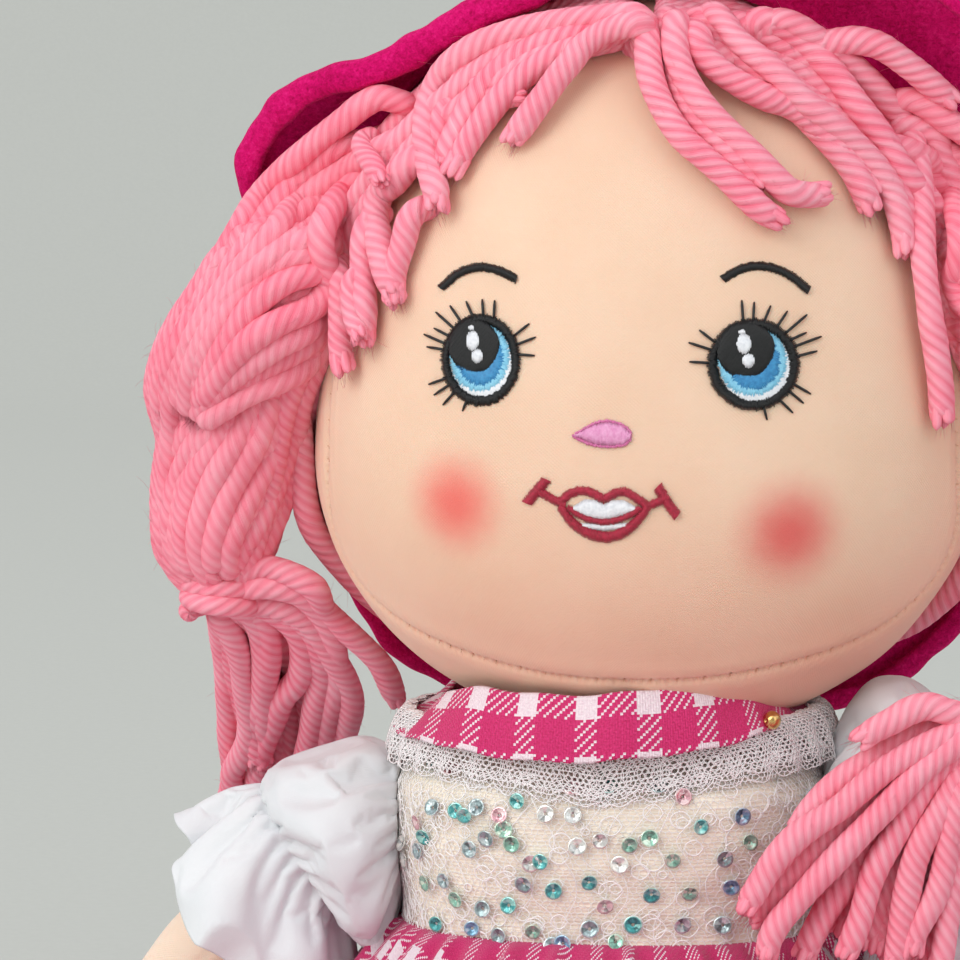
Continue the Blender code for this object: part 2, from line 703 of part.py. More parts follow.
def make_neck(cloth):
    """A stuffed plug: a ball foot in the torso and a straight top in the head."""
    profile = []
    for step in range(1, NECK_BALL_STEPS + 1):
        tilt = math.radians(90) * step / NECK_BALL_STEPS
        profile.append((NECK_BALL_RADIUS * math.sin(tilt), NECK_BALL_Z - NECK_BALL_RADIUS * math.cos(tilt)))
    shoulder_z = NECK_BALL_Z + (NECK_BALL_RADIUS - NECK_RADIUS) * NECK_SLOPE
    profile.append((NECK_RADIUS, shoulder_z))
    profile.append((NECK_RADIUS, NECK_TOP_Z - CLOTH))
    profile.append((NECK_RADIUS - CLOTH, NECK_TOP_Z))
    rings = [
        [Vector((NECK_X + radius * math.cos(turn), radius * math.sin(turn), z))
         for turn in (FULL_TURN * i / NECK_SIDES for i in range(NECK_SIDES))]
        for radius, z in profile
    ]
    return skin("neck", rings, cloth)


def on_head(direction, grow):
    """The point of the head's surface, grown outwards, in a direction from its centre."""
    a = HEAD_HALF_WIDTH + grow
    b = (HEAD_FRONT_DEPTH if direction.y < 0 else HEAD_BACK_DEPTH) + grow
    c = (HEAD_HEIGHT_ABOVE if direction.z > 0 else HEAD_HEIGHT_BELOW) + grow
    scale = math.sqrt((direction.x / a) ** 2 + (direction.y / b) ** 2 + (direction.z / c) ** 2)
    return HEAD_CENTRE + direction / scale


def on_face(x, z, grow):
    """The front point of the head's surface at a place seen from the front."""
    a = HEAD_HALF_WIDTH + grow
    b = HEAD_FRONT_DEPTH + grow
    c = (HEAD_HEIGHT_ABOVE if z > 0 else HEAD_HEIGHT_BELOW) + grow
    depth = math.sqrt(max(0, 1 - (x / a) ** 2 - (z / c) ** 2))
    return HEAD_CENTRE + Vector((x, -b * depth, z))


def clear_of_head(point, grow):
    """The point itself, or where it is pushed out to if it lies too near the head."""
    offset = point - HEAD_CENTRE
    surface = on_head(offset.normalized(), grow) - HEAD_CENTRE
    return point if offset.length >= surface.length else HEAD_CENTRE + surface


def make_head(cloth):
    base_angle = math.asin((HEAD_BASE_Z - HEAD_CENTRE_Z) / HEAD_HEIGHT_BELOW)
    top_angle = math.radians(90) - (math.radians(90) - base_angle) / HEAD_RINGS
    rings = []
    for step in range(HEAD_RINGS):
        tilt = base_angle + (top_angle - base_angle) * step / (HEAD_RINGS - 1)
        height = HEAD_HEIGHT_ABOVE if tilt > 0 else HEAD_HEIGHT_BELOW
        ring = []
        for turn in (FULL_TURN * i / HEAD_SIDES for i in range(HEAD_SIDES)):
            depth = HEAD_BACK_DEPTH if math.sin(turn) > 0 else HEAD_FRONT_DEPTH
            ring.append(HEAD_CENTRE + Vector((
                HEAD_HALF_WIDTH * math.cos(tilt) * math.cos(turn),
                depth * math.cos(tilt) * math.sin(turn),
                height * math.sin(tilt)
            )))
        rings.append(ring)
    head = skin("head", rings, cloth)
    bore = rod(
        "neck_bore_cutter", (NECK_X, 0, HEAD_BASE_Z - CUT_OVERRUN), (NECK_X, 0, NECK_TOP_Z + GAP),
        NECK_RADIUS + GAP, NECK_SIDES
    )
    combine(head, bore)
    return head


def patch(name, outline, thread):
    """A raised patch of embroidery inside an outline of (x, z) places on the face."""
    middle = (sum(x for x, _ in outline) / len(outline), sum(z for _, z in outline) / len(outline))
    grids = []
    for grow in (GAP + STITCH_HEIGHT, GAP):
        rows = [[on_face(*middle, grow)]]
        for share in (0.5, 1):
            rows.append([
                on_face(middle[0] + (x - middle[0]) * share, middle[1] + (z - middle[1]) * share, grow)
                for x, z in outline
            ])
        grids.append(rows)
    return slab(name, grids[0], grids[1], thread, closed=True, pole=True)


def make_face(black, pink, red):
    for side, sign in SIDES.items():
        centre_x = FACE_SHIFT + sign * EYE_SPACING / 2
        outline = [
            (centre_x + EYE_HALF_WIDTH * math.cos(turn), EYE_HEIGHT + EYE_HALF_HEIGHT * math.sin(turn))
            for turn in (FULL_TURN * i / EYE_SIDES for i in range(EYE_SIDES))
        ]
        patch(f"eye_{side}", outline, black)
        brow_x = FACE_SHIFT + sign * BROW_SPACING / 2
        path = [
            on_face(
                brow_x + BROW_HALF_LENGTH * share, BROW_HEIGHT + BROW_RISE * (1 - share ** 2), GAP + BROW_RADIUS
            )
            for share in (2 * step - 1 for step in shares_up_to(BROW_STEPS))
        ]
        radii = [BROW_RADIUS] * len(path)
        skin(f"brow_{side}", swept_rings(path, radii, radii, THREAD_SIDES), black)
    lens = [
        (FACE_SHIFT + NOSE_HALF_WIDTH * math.cos(turn),
         NOSE_HEIGHT + NOSE_HALF_HEIGHT * math.sin(turn) * abs(math.sin(turn)) ** NOSE_POINT_POWER)
        for turn in (FULL_TURN * i / NOSE_SIDES for i in range(NOSE_SIDES))
    ]
    patch("nose", lens, pink)
    smile = []
    for turn in (FULL_TURN * i / MOUTH_SIDES for i in range(MOUTH_SIDES)):
        lip = MOUTH_DROP
        if math.sin(turn) > 0:
            lip = MOUTH_TOP * (1 - MOUTH_DIP_SHARE * math.cos(2 * turn) ** MOUTH_DIP_POWER)
        smile.append((FACE_SHIFT + MOUTH_HALF_WIDTH * math.cos(turn), MOUTH_HEIGHT + lip * math.sin(turn)))
    patch("mouth", smile, red)


def make_chin_seam(cloth):
    """The stitched ridge between the face panel and the gusset under the chin."""
    path = []
    for share in shares_up_to(CHIN_SEAM_STEPS):
        turn = CHIN_SEAM_REACH * (2 * share - 1)
        path.append(on_face(
            CHIN_SEAM_HALF_WIDTH * math.sin(turn), -CHIN_SEAM_DROP * math.cos(turn) ** CHIN_SEAM_POWER,
            CHIN_SEAM_RADIUS + GAP
        ))
    radii = [CHIN_SEAM_RADIUS] * len(path)
    return skin("chin_seam", swept_rings(path, radii, radii, THREAD_SIDES), cloth)


# The hat and the hair

def hat_direction(around, away):
    """A direction from the head's centre: around the hat's axis from its top, and away from that axis."""
    rim = Vector((1, 0, 0)) * math.sin(around) + HAT_UP * math.cos(around)
    return HAT_AXIS * math.cos(away) + rim * math.sin(away)


def make_crown(fleece):
    outer, inner = [], []
    for step in range(CROWN_RINGS + 1):
        share = step / CROWN_RINGS
        puff = CROWN_CLEARANCE + CROWN_PUFF * (1 - share ** 2)
        for grid, grow in ((outer, puff + CROWN_THICKNESS), (inner, puff)):
            count = 1 if step == 0 else HAT_SIDES
            grid.append([
                on_head(hat_direction(FULL_TURN * i / HAT_SIDES, HAT_RIM_ANGLE * share), grow) for i in range(count)
            ])
    return slab("hat_crown", outer, inner, fleece, closed=True, pole=True)


def make_brim(fleece):
    """A flat ring that starts at the crown's edge and ends in a rolled, topstitched edge."""
    rings = []
    for i in range(HAT_SIDES):
        around = FULL_TURN * i / HAT_SIDES
        rim = Vector((1, 0, 0)) * math.sin(around) + HAT_UP * math.cos(around)
        start = on_head(hat_direction(around, HAT_RIM_ANGLE), CROWN_CLEARANCE + CROWN_THICKNESS / 2)
        start -= HAT_AXIS * (BRIM_THICKNESS / 2 + FACET_GAP)
        wave = HAT_AXIS * BRIM_WAVE * math.cos(BRIM_WAVE_COUNT * around)
        edge = BRIM_CENTRE + rim * (BRIM_RADIUS - BRIM_ROLL_RADIUS) + wave
        half = HAT_AXIS * BRIM_THICKNESS / 2
        section = [start + half, start.lerp(edge, 0.5) + half, edge - rim * BRIM_ROLL_RADIUS + half]
        for share in shares_up_to(BRIM_ROLL_STEPS):
            bend = BRIM_ROLL_BEND * (1 - 2 * share)
            section.append(edge + BRIM_ROLL_RADIUS * (rim * math.cos(bend) + HAT_AXIS * math.sin(bend)))
        section += [edge - rim * BRIM_ROLL_RADIUS - half, start.lerp(edge, 0.5) - half, start - half]
        rings.append(section)
    return skin("hat_brim", rings, fleece, closed=True)


def cap_edge(around):
    """How far the hair under the hat comes forward, as an angle from the hat's axis."""
    return CAP_FRONT_ANGLE + CAP_SIDE_SPREAD * math.sin(around) ** 2


def make_hair_cap(yarn):
    """Yarn laid round the head under the hat, in strands that run down each side."""
    steps = CAP_STRANDS * 2
    grids = [[], []]
    for step in range(steps + 1):
        ridge = abs(math.sin(math.pi * CAP_STRANDS * step / steps))
        thickness = CAP_THICKNESS * (CAP_VALLEY_SHARE + (1 - CAP_VALLEY_SHARE) * ridge)
        for grid, grow in ((grids[0], CAP_CLEARANCE + thickness), (grids[1], CAP_CLEARANCE)):
            row = []
            for share in shares_up_to(CAP_SIDES):
                around = CAP_REACH * (2 * share - 1)
                away = CAP_BACK_ANGLE + (cap_edge(around) - CAP_BACK_ANGLE) * step / steps
                row.append(on_head(hat_direction(around, away), grow))
            grid.append(row)
    return slab("hair_cap", grids[0], grids[1], yarn)


# Where the fringe strands start and end, in degrees round the hat's axis and away from it
FRINGE_START_AROUND = {"right": (4, 66), "left": (2, 70)}
FRINGE_ENDS = {
    "right": ((19, 93), (37, 98.5), (50, 102.5), (69, 106), (84, 101)),
    "left": ((27, 102), (36, 97), (46, 98), (57, 103), (76, 109), (88, 102)),
}
FRINGE_LENGTH_SHARES = (1.0, 0.86, 1.0, 0.9, 1.04, 0.92, 1.0, 0.95)


def make_fringe(side, sign, yarn):
    """Loose yarn ends swept from the parting over the forehead, each strand a rounded ridge."""
    per_strand = 3
    columns = FRINGE_STRANDS * per_strand
    starts, ends = FRINGE_START_AROUND[side], FRINGE_ENDS[side]
    grids = [[], []]
    for step in range(FRINGE_STEPS + 1):
        rows = [[], []]
        for column in range(columns + 1):
            share = column / columns
            strand = min(column // per_strand, FRINGE_STRANDS - 1)
            ridge = math.sin(math.pi * (column % per_strand) / per_strand)
            length = FRINGE_LENGTH_SHARES[strand]
            if column % per_strand == 0:
                before = FRINGE_LENGTH_SHARES[max(0, strand - 1)]
                length = min(length, before) - FRINGE_NOTCH_SHARE
            start_around = math.radians(starts[0] + (starts[1] - starts[0]) * share)
            start = (start_around, cap_edge(start_around) + FRINGE_START_SPREAD)
            places = shares_up_to(len(ends) - 1)
            end = [math.radians(curve_value(list(zip(places, [e[k] for e in ends])), share)) for k in range(2)]
            along = length * step / FRINGE_STEPS
            around = start[0] + (end[0] - start[0]) * along ** FRINGE_BEND_POWER
            away = start[1] + (end[1] - start[1]) * along
            direction = hat_direction(sign * around, away)
            lift = FRINGE_CLEARANCE + FRINGE_BASE + (YARN - FRINGE_BASE) * ridge
            rows[0].append(on_head(direction, lift))
            rows[1].append(on_head(direction, FRINGE_CLEARANCE))
        grids[0].append(rows[0])
        grids[1].append(rows[1])
    return slab(f"fringe_{side}", grids[0], grids[1], yarn)


def brim_front_y(z):
    """How far back the brim's plane stands at a height."""
    return BRIM_CENTRE_Y - (z - BRIM_CENTRE_Z) * math.tan(HAT_TILT)


BUNCH_HEIGHT_SHARES = (1.0, 0.86, 0.70, 0.52, 0.36, 0.22, 0.12, 0.05, 0.0)
BUNCH_WIDTH_SHARES = (0.30, 0.62, 0.86, 1.0, 1.0, 0.93, 0.72, 0.25, 0.25)
BUNCH_OUT_SHARES = (0.76, 0.84, 0.92, 0.985, 1.0, 1.0, 1.0, 1.0, 1.0)


def make_bunch(side, sign, yarn):
    """Looped yarn that comes out under the brim, swells beside the cheek and is drawn in at its tie."""
    path, widths, depths = [], [], []
    cap_grow = CAP_CLEARANCE + CAP_THICKNESS + FACET_GAP * 2
    for height, width, out in zip(BUNCH_HEIGHT_SHARES, BUNCH_WIDTH_SHARES, BUNCH_OUT_SHARES):
        z = TIE_Z + GAP + (BUNCH_TOP_Z - TIE_Z) * height
        depth = max(BUNCH_HALF_DEPTH * width, TIE_NECK_RADIUS)
        back_limit = brim_front_y(z) - BRIM_THICKNESS * 2 - BRIM_WAVE - depth
        path.append(Vector((NECK_X + sign * BUNCH_OUT * out, min(0, back_limit), z)))
        widths.append(max(BUNCH_HALF_WIDTH * width, TIE_NECK_RADIUS))
        depths.append(depth)
    rings = swept_rings(path, widths, depths, HAIR_SIDES, HAIR_FLUTES, HAIR_FLUTE_SHARE)
    rings = [[clear_of_head(point, cap_grow) for point in ring] for ring in rings]
    return skin(f"hair_bunch_{side}", rings, yarn)


def make_tie(side, sign, yarn):
    """Yarn wound round the pinch between a bunch and its tail."""
    centre = Vector((NECK_X + sign * BUNCH_OUT, 0, TIE_Z))
    rings = []
    for turn in (FULL_TURN * i / TIE_SIDES for i in range(TIE_SIDES)):
        out = Vector((math.cos(turn), math.sin(turn), 0))
        rings.append([
            centre + out * (TIE_RADIUS + TIE_YARN_RADIUS * math.cos(bend))
            + Vector((0, 0, TIE_YARN_RADIUS * math.sin(bend)))
            for bend in (FULL_TURN * k / THREAD_SIDES for k in range(THREAD_SIDES))
        ])
    return skin(f"hair_tie_{side}", rings, yarn, closed=True)


# The tails' middle lines, as shares of each tail's length from its tie: outwards, forwards, down
TAIL_ROUTE_SHARES = {
    "right": ((0, 0, 0), (-0.04, -0.20, 0.20), (-0.14, -0.52, 0.44), (-0.24, -0.80, 0.72), (-0.30, -0.90, 1.0)),
    "left": ((0, 0, 0), (-0.10, 0.22, 0.12), (-0.34, 0.50, 0.34), (-0.56, 0.66, 0.62), (-0.72, 0.70, 0.96)),
}
TAIL_WIDTH_SHARES = ((0.0, 0.27), (0.2, 0.5), (0.5, 0.85), (0.8, 1.0), (1.0, 0.94))
TAIL_DEPTH_SHARES = ((0.0, 0.65), (0.2, 0.85), (0.5, 1.0), (0.8, 1.0), (1.0, 0.8))


def make_tail(side, sign, yarn, length):
    """The loose yarn under a tie. The right one falls behind its sleeve, the left one over its own."""
    tie = Vector((NECK_X + sign * BUNCH_OUT, 0, TIE_Z - GAP))
    below = tie - Vector((0, 0, TIE_YARN_RADIUS * 2))
    points = [
        below + Vector((sign * out * length, -forward * length, -down * length))
        for out, forward, down in TAIL_ROUTE_SHARES[side]
    ]
    shares = shares_up_to(TAIL_STEPS)
    path = [curve_point(points, share) for share in shares]
    widths = [TAIL_HALF_WIDTH * curve_value(TAIL_WIDTH_SHARES, share) for share in shares]
    depths = [TAIL_HALF_DEPTH * curve_value(TAIL_DEPTH_SHARES, share) for share in shares]
    rings = swept_rings(path, widths, depths, HAIR_SIDES, HAIR_FLUTES, HAIR_FLUTE_SHARE)
    neck = [TIE_NECK_RADIUS, TIE_NECK_RADIUS]
    rings[:1] = swept_rings([tie, below], neck, neck, HAIR_SIDES, HAIR_FLUTES, HAIR_FLUTE_SHARE)
    return skin(f"hair_tail_{side}", rings, yarn)


def main():
    for old in list(bpy.data.objects):
        bpy.data.objects.remove(old, do_unlink=True)
    skin_cloth = material("skin_cloth", (0.86, 0.62, 0.42), 0.85)
    pink_yarn = material("pink_yarn", (0.85, 0.20, 0.30), 0.9)
    fleece = material("magenta_fleece", (0.50, 0.02, 0.13), 0.95)
    gingham = material("gingham", (0.72, 0.16, 0.34), 0.8)
    satin = material("white_satin", (0.78, 0.78, 0.80), 0.4)
    lace = material("lace", (0.72, 0.62, 0.54), 0.8)
    black_thread = material("black_thread", (0.02, 0.02, 0.025), 0.5)
    pink_thread = material("pink_thread", (0.72, 0.22, 0.40), 0.5)
    red_thread = material("red_thread", (0.38, 0.01, 0.03), 0.5)
    gold = material("gold", (0.80, 0.55, 0.20), 0.25, 1.0)

    make_torso(skin_cloth)
    make_neck(skin_cloth)
    make_bodice(lace)
    make_neck_lace(lace)
    make_collar(gingham)
    make_bead(gold)
    make_skirt(gingham)

    make_head(skin_cloth)
    make_chin_seam(skin_cloth)
    make_face(black_thread, pink_thread, red_thread)
    make_crown(fleece)
    make_brim(fleece)
    make_hair_cap(pink_yarn)

    lifts = {"right": SLEEVE_LIFT_RIGHT, "left": SLEEVE_LIFT_LEFT}
    tail_lengths = {"right": TAIL_LENGTH_RIGHT, "left": TAIL_LENGTH_LEFT}
    for side, sign in SIDES.items():
        make_fringe(side, sign, pink_yarn)
        make_bunch(side, sign, pink_yarn)
        make_tie(side, sign, pink_yarn)
        make_tail(side, sign, pink_yarn, tail_lengths[side])
        make_shoulder(side, sign, skin_cloth)
        make_arm(side, sign, skin_cloth)
        make_sleeve(side, sign, satin, lifts[side])
        make_leg(side, sign, skin_cloth)
        make_shoe(side, sign, fleece)


main()
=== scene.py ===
"""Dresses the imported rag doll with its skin, embroidery, yarn hair, fleece hat and clothes.

Metres, +Z up, the doll facing -Y. Left and right are the doll's own, so its left is at +X.
Places named PX are pixels of a 960 x 960 picture from the camera below.
"""
import math
import random
from bisect import bisect_right
from functools import lru_cache

import bpy
import numpy as np
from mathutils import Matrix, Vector


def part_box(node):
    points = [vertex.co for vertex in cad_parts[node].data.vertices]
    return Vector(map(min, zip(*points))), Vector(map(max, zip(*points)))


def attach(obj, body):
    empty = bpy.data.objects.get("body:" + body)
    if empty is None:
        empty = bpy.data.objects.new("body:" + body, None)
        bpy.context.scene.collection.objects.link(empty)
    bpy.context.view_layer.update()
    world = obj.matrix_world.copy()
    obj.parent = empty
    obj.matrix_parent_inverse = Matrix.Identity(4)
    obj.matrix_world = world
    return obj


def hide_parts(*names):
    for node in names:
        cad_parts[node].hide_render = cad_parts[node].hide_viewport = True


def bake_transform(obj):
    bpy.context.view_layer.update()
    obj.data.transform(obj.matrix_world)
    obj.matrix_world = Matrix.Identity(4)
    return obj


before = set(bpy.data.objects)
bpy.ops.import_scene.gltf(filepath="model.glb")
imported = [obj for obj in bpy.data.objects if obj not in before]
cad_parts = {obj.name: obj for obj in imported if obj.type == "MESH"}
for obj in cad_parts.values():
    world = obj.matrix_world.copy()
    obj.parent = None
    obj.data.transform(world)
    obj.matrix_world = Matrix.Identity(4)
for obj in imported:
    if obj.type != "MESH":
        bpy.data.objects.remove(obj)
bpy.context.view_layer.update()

MM = 0.001
NECK_X = 0.006
HEAD = np.array([NECK_X, 0.0, 0.1307])
HEAD_HALF_WIDTH = 0.0615
HEAD_FRONT = 0.046
HEAD_BACK = 0.044
HEAD_ABOVE = 0.083
HEAD_BELOW = 0.0526
HEAD_BASE_Z = 0.085
HAT_TILT = math.radians(24)
HAT_AXIS = np.array([0.0, math.cos(HAT_TILT), math.sin(HAT_TILT)])
HAT_UP = np.array([0.0, -math.sin(HAT_TILT), math.cos(HAT_TILT)])
HAT_SIDE = np.array([1.0, 0.0, 0.0])
YARN_RADIUS = 0.0025
SIDES = {"right": -1, "left": 1}
UP = np.array([0.0, 0.0, 1.0])

# The camera, and the way back from a pixel to a place on the doll

CAMERA_AZ = math.radians(6.5)
CAMERA_EL = math.radians(6.0)
CAMERA_REACH = 0.800
PIXELS_PER_METRE = 5420
HEAD_PX = (647, 450)
FRAME_PX = 960

camera_back = np.array([
    math.sin(CAMERA_AZ) * math.cos(CAMERA_EL), -math.cos(CAMERA_AZ) * math.cos(CAMERA_EL), math.sin(CAMERA_EL)
])
camera_right = np.array([math.cos(CAMERA_AZ), math.sin(CAMERA_AZ), 0.0])
camera_up = np.array([
    -math.sin(CAMERA_AZ) * math.sin(CAMERA_EL), math.cos(CAMERA_AZ) * math.sin(CAMERA_EL), math.cos(CAMERA_EL)
])
camera_target = (
    HEAD - camera_right * (HEAD_PX[0] - FRAME_PX / 2) / PIXELS_PER_METRE
    - camera_up * (FRAME_PX / 2 - HEAD_PX[1]) / PIXELS_PER_METRE
)
camera_place = camera_target + camera_back * CAMERA_REACH
FOCAL_PX = PIXELS_PER_METRE * CAMERA_REACH


def make_camera():
    data = bpy.data.cameras.new("camera")
    data.sensor_width = 36
    data.lens = data.sensor_width * FOCAL_PX / FRAME_PX
    data.clip_start, data.clip_end = 0.02, 20
    made = bpy.data.objects.new("camera", data)
    bpy.context.scene.collection.objects.link(made)
    made.location = camera_place
    made.rotation_mode = "QUATERNION"
    made.rotation_quaternion = Vector(-camera_back).to_track_quat("-Z", "Y")
    bpy.context.scene.camera = made


def pixel_ray(px, py):
    return camera_right * (px - FRAME_PX / 2) / FOCAL_PX + camera_up * (FRAME_PX / 2 - py) / FOCAL_PX - camera_back


def at_depth(px, py, y):
    """The place on the plane of that Y which the camera sees at a pixel."""
    ray = pixel_ray(px, py)
    return camera_place + ray * ((y - camera_place[1]) / ray[1])


def on_face(px, py, lift=0.0):
    """The place on the front of the head, grown by a lift, which the camera sees at a pixel."""
    ray = pixel_ray(px, py)
    start = camera_place - HEAD
    best = None
    for height in (HEAD_ABOVE, HEAD_BELOW):
        size = np.array([HEAD_HALF_WIDTH + lift, HEAD_FRONT + lift, height + lift])
        a, o = ray / size, start / size
        p, q, r = a @ a, a @ o, o @ o - 1
        spread = max(0.0, q * q - p * r)
        place = start + ray * ((-q - math.sqrt(spread)) / p)
        fits = (place[2] >= 0) == (height == HEAD_ABOVE)
        if best is None or fits:
            best = place
            if fits:
                break
    return HEAD + best


def on_head(direction, lift=0.0):
    """The place on the head, grown by a lift, in a direction from its centre."""
    direction = np.asarray(direction, float)
    size = np.array([
        HEAD_HALF_WIDTH, HEAD_FRONT if direction[1] < 0 else HEAD_BACK, HEAD_ABOVE if direction[2] > 0 else HEAD_BELOW
    ]) + lift
    return HEAD + direction / np.linalg.norm(direction / size)


def hat_direction(around, away):
    """A direction from the head's centre, in radians round the hat's axis and away from it."""
    rim = HAT_SIDE * math.sin(around) + HAT_UP * math.cos(around)
    return HAT_AXIS * math.cos(away) + rim * math.sin(away)


# Meshes from grids of points

def unit(vector):
    return vector / np.linalg.norm(vector)


def smooth_path(points, step):
    """Evenly spaced points on a smooth curve through some points."""
    p = np.asarray(points, float)
    if len(p) == 2:
        p = np.array([p[0], (p[0] + p[1]) / 2, p[1]])
    t = np.concatenate([[0], np.cumsum(np.maximum(np.linalg.norm(np.diff(p, axis=0), axis=1), 1e-6))])
    slope = np.gradient(p, t, axis=0)
    fine = np.linspace(0, t[-1], max(12, int(t[-1] / step * 3)))
    k = np.clip(np.searchsorted(t, fine, side="right") - 1, 0, len(t) - 2)
    h = (t[k + 1] - t[k])[:, None]
    u = ((fine - t[k])[:, None]) / h
    curve = (
        p[k] * (1 + 2 * u) * (1 - u) ** 2 + p[k + 1] * u * u * (3 - 2 * u)
        + h * (slope[k] * u * (1 - u) ** 2 - slope[k + 1] * u * u * (1 - u))
    )
    run = np.concatenate([[0], np.cumsum(np.linalg.norm(np.diff(curve, axis=0), axis=1))])
    count = max(3, int(round(run[-1] / step)) + 1)
    even = np.linspace(0, run[-1], count)
    return np.stack([np.interp(even, run, curve[:, i]) for i in range(3)], axis=1)


def frames_along(path, start_normal=None):
    """Directions square to a path that turn as little as can be."""
    ahead = np.gradient(path, axis=0)
    ahead /= np.linalg.norm(ahead, axis=1)[:, None]
    first = np.array([0.0, -1.0, 0.0]) if start_normal is None else np.asarray(start_normal, float)
    if abs(first @ ahead[0]) > 0.95:
        first = np.array([1.0, 0.0, 0.0])
    normal = unit(first - ahead[0] * (first @ ahead[0]))
    normals = np.empty_like(path)
    for i, along in enumerate(ahead):
        normal = unit(normal - along * (normal @ along))
        normals[i] = normal
    return ahead, normals, np.cross(ahead, normals)


class Mesh:
    """Collects grids of points and becomes one object."""

    def __init__(self):
        self.points, self.quads, self.quad_uvs, self.tris, self.tri_uvs = [], [], [], [], []
        self.count = 0

    def grid(self, grid, u=None, v=None, closed=False, caps=(False, False), ring=False):
        """Adds a grid of rows and columns. closed joins each row's ends, and ring joins the last row to the first.

        u and v have one value more than the columns and rows that are joined so.
        """
        grid = np.asarray(grid, float)
        rows, columns = grid.shape[:2]
        base = self.count
        self.points.append(grid.reshape(-1, 3))
        self.count += rows * columns
        spans, steps = (columns if closed else columns - 1), (rows if ring else rows - 1)
        u = np.linspace(0, 1, spans + 1) if u is None else np.asarray(u, float)
        v = np.linspace(0, 1, steps + 1) if v is None else np.asarray(v, float)
        i, j = np.meshgrid(np.arange(steps), np.arange(spans), indexing="ij")
        i, j = i.ravel(), j.ravel()
        j_next, i_next = (j + 1) % columns, (i + 1) % rows
        quads = np.stack([i * columns + j, i * columns + j_next, i_next * columns + j_next, i_next * columns + j], 1)
        self.quads.append(quads + base)
        self.quad_uvs.append(np.stack([
            np.stack([u[j], v[i]], 1), np.stack([u[j + 1], v[i]], 1),
            np.stack([u[j + 1], v[i + 1]], 1), np.stack([u[j], v[i + 1]], 1)
        ], 1))
        for end, wanted in zip((0, rows - 1), caps):
            if not wanted:
                continue
            middle = self.count
            self.points.append(grid[end].mean(0)[None])
            self.count += 1
            j = np.arange(columns)
            a, b = base + end * columns + j, base + end * columns + (j + 1) % columns
            tri = np.stack([b, a, np.full(columns, middle)] if end == 0 else [a, b, np.full(columns, middle)], 1)
            self.tris.append(tri)
            ends = v[end]
            self.tri_uvs.append(np.stack([
                np.stack([u[j + 1], np.full(columns, ends)], 1), np.stack([u[j], np.full(columns, ends)], 1),
                np.stack([(u[j] + u[j + 1]) / 2, np.full(columns, ends)], 1)
            ], 1))
        return base

    def build(self, name, made_of, smooth=True):
        points = np.concatenate(self.points)
        quads = np.concatenate(self.quads) if self.quads else np.zeros((0, 4), int)
        tris = np.concatenate(self.tris) if self.tris else np.zeros((0, 3), int)
        mesh = bpy.data.meshes.new(name)
        mesh.vertices.add(len(points))
        mesh.vertices.foreach_set("co", points.astype(np.float32).ravel())
        corners = np.concatenate([quads.ravel(), tris.ravel()]).astype(np.int32)
        mesh.loops.add(len(corners))
        mesh.loops.foreach_set("vertex_index", corners)
        mesh.polygons.add(len(quads) + len(tris))
        starts = np.concatenate([np.arange(len(quads)) * 4, len(quads) * 4 + np.arange(len(tris)) * 3])
        mesh.polygons.foreach_set("loop_start", starts.astype(np.int32))
        layer = mesh.uv_layers.new(name="UVMap")
        uvs = [a.reshape(-1, 2) for a in self.quad_uvs + self.tri_uvs]
        mesh.update(calc_edges=True)
        layer.data.foreach_set("uv", np.concatenate(uvs).astype(np.float32).ravel())
        mesh.validate()
        if smooth:
            mesh.shade_smooth()
        made = bpy.data.objects.new(name, mesh)
        bpy.context.scene.collection.objects.link(made)
        if made_of is not None:
            mesh.materials.append(made_of)
        return made


def tube_grid(path, radius, sides, profile=None, twist=0.0, flat=1.0, start_normal=None):
    """Rings along a path. twist turns them, in radians for each metre, and profile shapes every ring."""
    ahead, normals, sideways = frames_along(path, start_normal)
    run = np.concatenate([[0], np.cumsum(np.linalg.norm(np.diff(path, axis=0), axis=1))])
    turn = np.arange(sides) * 2 * np.pi / sides
    shape = np.ones(sides) if profile is None else profile
    angle = turn[None, :] + twist * run[:, None]
    reach = np.asarray(radius, float).reshape(-1, 1) * shape[None, :]
    grid = (
        path[:, None, :] + (reach * np.cos(angle))[..., None] * normals[:, None, :] * flat
        + (reach * np.sin(angle))[..., None] * sideways[:, None, :]
    )
    return grid, run


PLIES = 5
TUFTS = 6
YARN_SIDES = 15
YARN_LAY = 0.0108
YARN_STEP = 0.0006
YARN_TIP_STEPS = np.array([0.00008, 0.00035, 0.0008, 0.0014])


